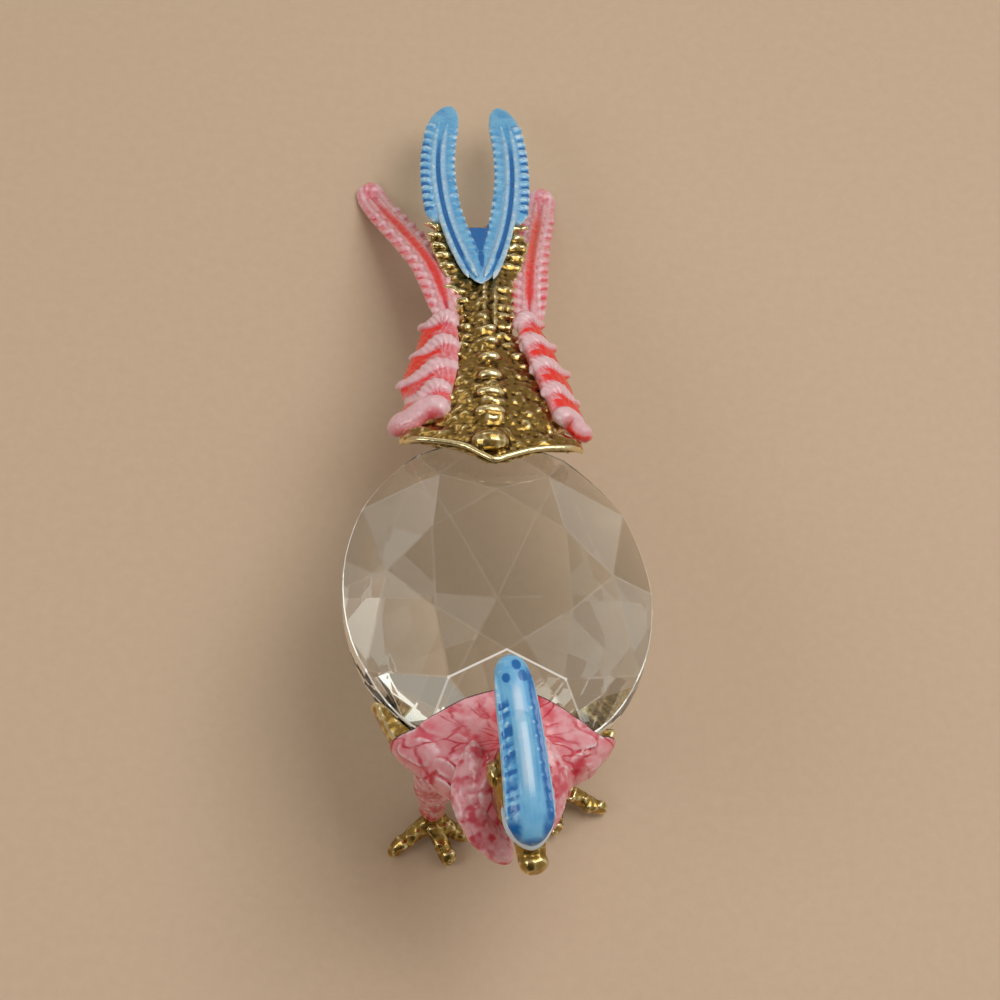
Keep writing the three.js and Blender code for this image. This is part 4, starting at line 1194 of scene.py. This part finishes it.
def makeWing(side, word):
    look, ends, hem = wingLook, wingLook[word], wingLook["hem"][word]
    up, back = bodyUp(), bodyBack()
    wave = back * look["wave"] * unit
    lines, parts, pad = [], [], []
    for n, (inner, outer) in enumerate(ends):
        a = onBody(side * inner[0], inner[1], mix(*look["innerTop"], n / (len(ends) - 1)))
        c = onBody(side * outer[0], outer[1], look["outerTop"])
        knots = [a, *[a.lerp(c, t) + up * rise * unit + wave * way for t, rise, way in look["crown"]], c]
        line = lambda u, knots=knots: through(knots, u)
        lines.append(line)
        fat = lambda u: hem if n == 0 else readAt(look["roll"], u)
        parts.append(strand(word + "Flounce", line, 16, fat, lambda u: fat(u) * look["flat"], 20, up, 0.25, 0.25))
        last = look["padEnd"] if n == len(ends) - 1 else 1
        reach = (c - a).length / unit * look["padReach"]
        pad.append((a.lerp(c, look["padMiddle"]), reach * last, look["pad"] * last))
    slope = (lines[0](1) - lines[0](0)).cross(back) * side
    parts.append(tube(word + "WingPad", pad, 20, slope, back))
    piece = joined(word + "WingEnamel", parts)
    fuse(piece, 0.1, 2)
    co = coords(piece)
    off, share, lane, first = np.full(len(co), 9.0), *np.zeros((3, len(co)))
    for n, line in enumerate(lines):  # the nearest flounce rules
        along, across, _ = followLine(co, line, up, 40)
        aside = np.abs(across) / ((np.interp(along, *zip(*look["roll"])) if n else hem) / 2)
        near = aside < off
        off, share, lane, first = (np.where(near, new, old) for new, old in (
            (aside, off), (along, share), (across, lane), (n == 0, first)))
    pleat = np.cos(2 * np.pi * (share * look["pleats"] + lane * 0.45))
    swell(piece, look["pleat"] * pleat * within(share, (0.03, 0.15), (0.5, 0.8)) * (1 - first))
    hammer(piece, 1.3, 0.25, "CLOUDS")
    markHollows(piece, 14, 0.12)
    valley = ease(off, 0.75, 1.05)
    low = fall(stoneAxes(co)[1], 24.5, 26) if side == right else 0
    redFrom = look["redFrom"][word]
    red = valley * mix(ease(share, redFrom, redFrom + 0.2), 0.5, low)
    # the pale tops of the rolls are milky enamel and partly a painted highlight
    mark(piece, accent=np.maximum(red, valley * 0.3), milk=fall(off, 0.4, 0.9) * 0.5)
    settle(piece, pink, "pink_enamel", word + "_wing")


# Legs: a gilt shank with knuckled toes, and enamel round the thigh
legLook = {
    "ankle": {"right": (-5.2, -16), "left": (7.4, -12.4)}, "ankleHeight": 2.3, "hip": (1.2, -0.8),
    "shankFoot": -0.02, "shankTop": {"right": 0.72, "left": 1.03}, "shank": 1.7, "shankWave": 0.25,
    "toes": [5.4, 4.6, 3.8, 2.4], "headings": {"right": (-53, 23, 69, 189), "left": (70, -6, -52, -172)},
    "toeTip": 0.55, "toeBend": 0.45, "toeRise": 1.75, "knuckles": (0.22, 0.4, 0.56, 0.72, 0.86), "jog": 0.25,
    "thighFoot": 3.9, "thighTop": {"right": 0.86, "left": 1.03}, "thighThin": 0.95, "thighWide": 1.75, "coat": 0.1}


def makeLeg(side, word):
    look, jog = legLook, legLook["jog"]
    x, y = look["ankle"][word]
    ankle = place(x, y, look["ankleHeight"])
    hip = place(x + side * look["hip"][0], y + look["hip"][1], body["height"])
    legLine = lambda t: ankle.lerp(hip, t)
    rng = random.Random(3 + side)
    fat = lambda t: look["shank"] + look["shankWave"] * math.cos(9 * t)
    shankLine = lambda t: legLine(mix(look["shankFoot"], look["shankTop"][word], t))
    parts = [strand("shank", shankLine, 10, fat, fat, 16, rearward, 0.05, 0.05)]
    spots = []
    for length, heading in zip(look["toes"], look["headings"][word]):
        way = Vector((math.sin(math.radians(heading)), -math.cos(math.radians(heading)), 0))
        tip = place(x, y, look["toeTip"]) + way * length * unit
        bend = ankle + way * length * look["toeBend"] * unit
        bend.z = look["toeRise"] * unit
        line = lambda t: bezier(ankle, bend, tip, t)
        parts.append(strand("toe", line, 12, lambda t: 2.0 - 0.6 * t, lambda t: 1.9 - 0.75 * t, 14,
                            start=0.1, end=0.2))
        for t in look["knuckles"]:  # uneven as cast
            ahead = (line(t + 0.05) - line(t - 0.05)).normalized()
            shift = Vector((rng.uniform(-jog, jog), rng.uniform(-jog, jog), rng.uniform(0.1, 0.4)))
            size = rng.uniform(0.85, 1.15)
            sizes = 1.6 * size, 1.9 * size - 0.6 * t, 1.5 * size - 0.4 * t
            spots.append((line(t) + shift * unit, ahead, upward, *sizes))
    piece = joined(word + "LegGilt", parts + stamp(leaf, spots))
    fuse(piece, 0.1, 2)
    hammer(piece, 0.9, 0.2)
    soften(piece, 1)
    setOnFloor(piece)
    markHollows(piece, 12, 0.07)
    settle(piece, gilt, "gilt_metal", word + "_leg")

    foot = (look["thighFoot"] - look["ankleHeight"]) / (body["height"] - look["ankleHeight"])
    thighLine = lambda t: legLine(mix(foot, look["thighTop"][word], t))
    width = lambda t: 2 * (mix(look["thighThin"], look["thighWide"], min(1, t * 1.75)) + look["coat"])
    coat = strand(word + "ThighEnamel", thighLine, 14, width, width, 22, rearward, 0.04, 0.1)
    fuse(coat, 0.12, 3)
    hammer(coat, 1.4, 0.4, "CLOUDS")
    markHollows(coat, 10, 0.05)
    share, across, above = followLine(coords(coat), thighLine, rearward)
    markFlow(coat, np.arctan2(across, above) * 2.2, share * 5)
    mark(coat, accent=fall(share, 0.05, 0.4) * 0.3, blotch=0.9, lines=0.4)
    settle(coat, pink, "pink_enamel", word + "_thigh_enamel")


makeStone()
makeBreast()
makeHead()
makeCrest()
makeTail()
makeFork()
for side, word in ((right, "right"), (left, "left")):
    makeRuff(side, word)
    makeWing(side, word)
    makeSideFeather(side, word)
    makeLeg(side, word)
discard(leaf, bar)
for node in ("front_glue_bed", "rear_glue_bed"):
    bed = frame["nodes"][node]
    bed.data.materials.clear()
    bed.data.materials.append(glue)
print("pieces made")

# Floor, light and camera
floorLook = {"size": 3.0, "drop": 0.02, "tone": tint(212, 189, 163), "shade": tint(202, 178, 152)}
floor = fresh("floor", bpy.ops.mesh.primitive_plane_add, size=floorLook["size"],
              location=-upward * floorLook["drop"] * unit)
bpy.ops.object.transform_apply(location=True, rotation=True, scale=True)
paper = Finish("palePaper", Roughness=0.75)
paper.feed(Base_Color=paper.blend(paper.grain(900, 4), floorLook["shade"], floorLook["tone"]))
paper.bump(paper.grain(2500, 2), 0.1, 0.05)
floor.data.materials.append(paper.material)

litByLamps = bpy.data.collections.new("litByLamps")  # the glass only mirrors the room and its pale windows
mirrorsWindows = bpy.data.collections.new("mirrorsWindows")
for thing in bpy.context.scene.objects:
    if thing.type == "MESH":
        (mirrorsWindows if thing.name == "stone" else litByLamps).objects.link(thing)
lightLook = [("keyLight", (120, 40, 320), 240, 0.55, (1.0, 0.97, 0.93), litByLamps),
             ("fillLight", (-260, -140, 240), 160, 0.22, (0.97, 0.98, 1.0), litByLamps),
             ("rearLight", (-80, 260, 200), 120, 0.05, (1.0, 0.99, 0.97), litByLamps),
             ("leftWindow", (-270, 176, 150), 260, 0.15, (0.95, 1.0, 0.95), mirrorsWindows),
             ("rightWindow", (300, 176, 100), 260, 0.15, (0.95, 1.0, 0.95), mirrorsWindows),
             ("leftRearWindow", (-110, 304, 75), 120, 0.04, (0.95, 1.0, 0.95), mirrorsWindows),
             ("rightRearWindow", (160, 290, 70), 120, 0.04, (0.95, 1.0, 0.95), mirrorsWindows)]
for name, at, size, power, colour, receivers in lightLook:
    lamp = bpy.data.lights.new(name, "AREA")
    lamp.shape, lamp.size, lamp.energy, lamp.color = "SQUARE", size * unit, power, colour
    lampObject = bpy.data.objects.new(name, lamp)
    lampObject.location = place(*at)
    aim = place(0, 8, 12) - lampObject.location
    lampObject.rotation_euler = aim.to_track_quat("-Z", "Y").to_euler()
    lampObject.light_linking.receiver_collection = receivers
    lampObject.visible_camera = False
    bpy.context.scene.collection.objects.link(lampObject)

# A warm light room with a paler wall at the right, darker low at the viewer's side
roomLook = {"wall": (0.5, 0.44, 0.37), "pale": (0.8, 0.78, 0.72), "paleFrom": (0.5, 0.85),
            "dark": (0.1, 0.09, 0.06), "darkFrom": (0.74, 0.9), "darkWay": (-0.35, -0.9, 0.22), "strength": 0.7}
world = bpy.data.worlds.new("softRoom")
bpy.context.scene.world = world
world.use_nodes = True
room, backdrop = Nodes(world.node_tree), world.node_tree.nodes["Background"]
way = room.add("ShaderNodeTexCoord", out="Generated")
toPale, toDark = (room.add("ShaderNodeVectorMath", {"operation": "DOT_PRODUCT"}, [way, end], "Value")
                  for end in ((1, 0, 0), Vector(roomLook["darkWay"]).normalized()))
shade = room.blend(toPale.over(*roomLook["paleFrom"], "LINEAR"), roomLook["wall"], roomLook["pale"])
shade = room.blend(toDark.over(*roomLook["darkFrom"], "LINEAR"), shade, roomLook["dark"])
room.put(backdrop.inputs["Color"], shade)
room.put(backdrop.inputs["Strength"], roomLook["strength"])

shot = {"azimuth": -11.92, "elevation": 60.03, "roll": 11.78, "lens": 108, "sensor": 36, "distance": 290,
        "aim": (0, 0, 19), "pixel": (497.0, 598.4), "picture": 1000}


def makeCamera():
    az, el, roll = (math.radians(shot[key]) for key in ("azimuth", "elevation", "roll"))
    back = Vector((math.sin(az) * math.cos(el), -math.cos(az) * math.cos(el), math.sin(el)))
    across = Vector((math.cos(az), math.sin(az), 0))
    up = back.cross(across)
    r = across * math.cos(roll) + up * math.sin(roll)
    u = up * math.cos(roll) - across * math.sin(roll)
    focal = shot["lens"] / shot["sensor"] * shot["picture"]
    px, py = (shot["pixel"][0] - shot["picture"] / 2) / focal, -(shot["pixel"][1] - shot["picture"] / 2) / focal
    at = place(*shot["aim"]) - (r * px + u * py - back) * shot["distance"] * unit
    camera = bpy.data.objects.new("camera", bpy.data.cameras.new("camera"))
    camera.data.lens, camera.data.sensor_width, camera.data.clip_start = shot["lens"], shot["sensor"], 0.005
    camera.matrix_world = Matrix.Translation(at) @ Matrix((r, u, back)).transposed().to_4x4()
    bpy.context.scene.collection.objects.link(camera)
    bpy.context.scene.camera = camera


makeCamera()
bpy.context.scene.view_settings.view_transform = "Standard"
print("floor, light and camera set")
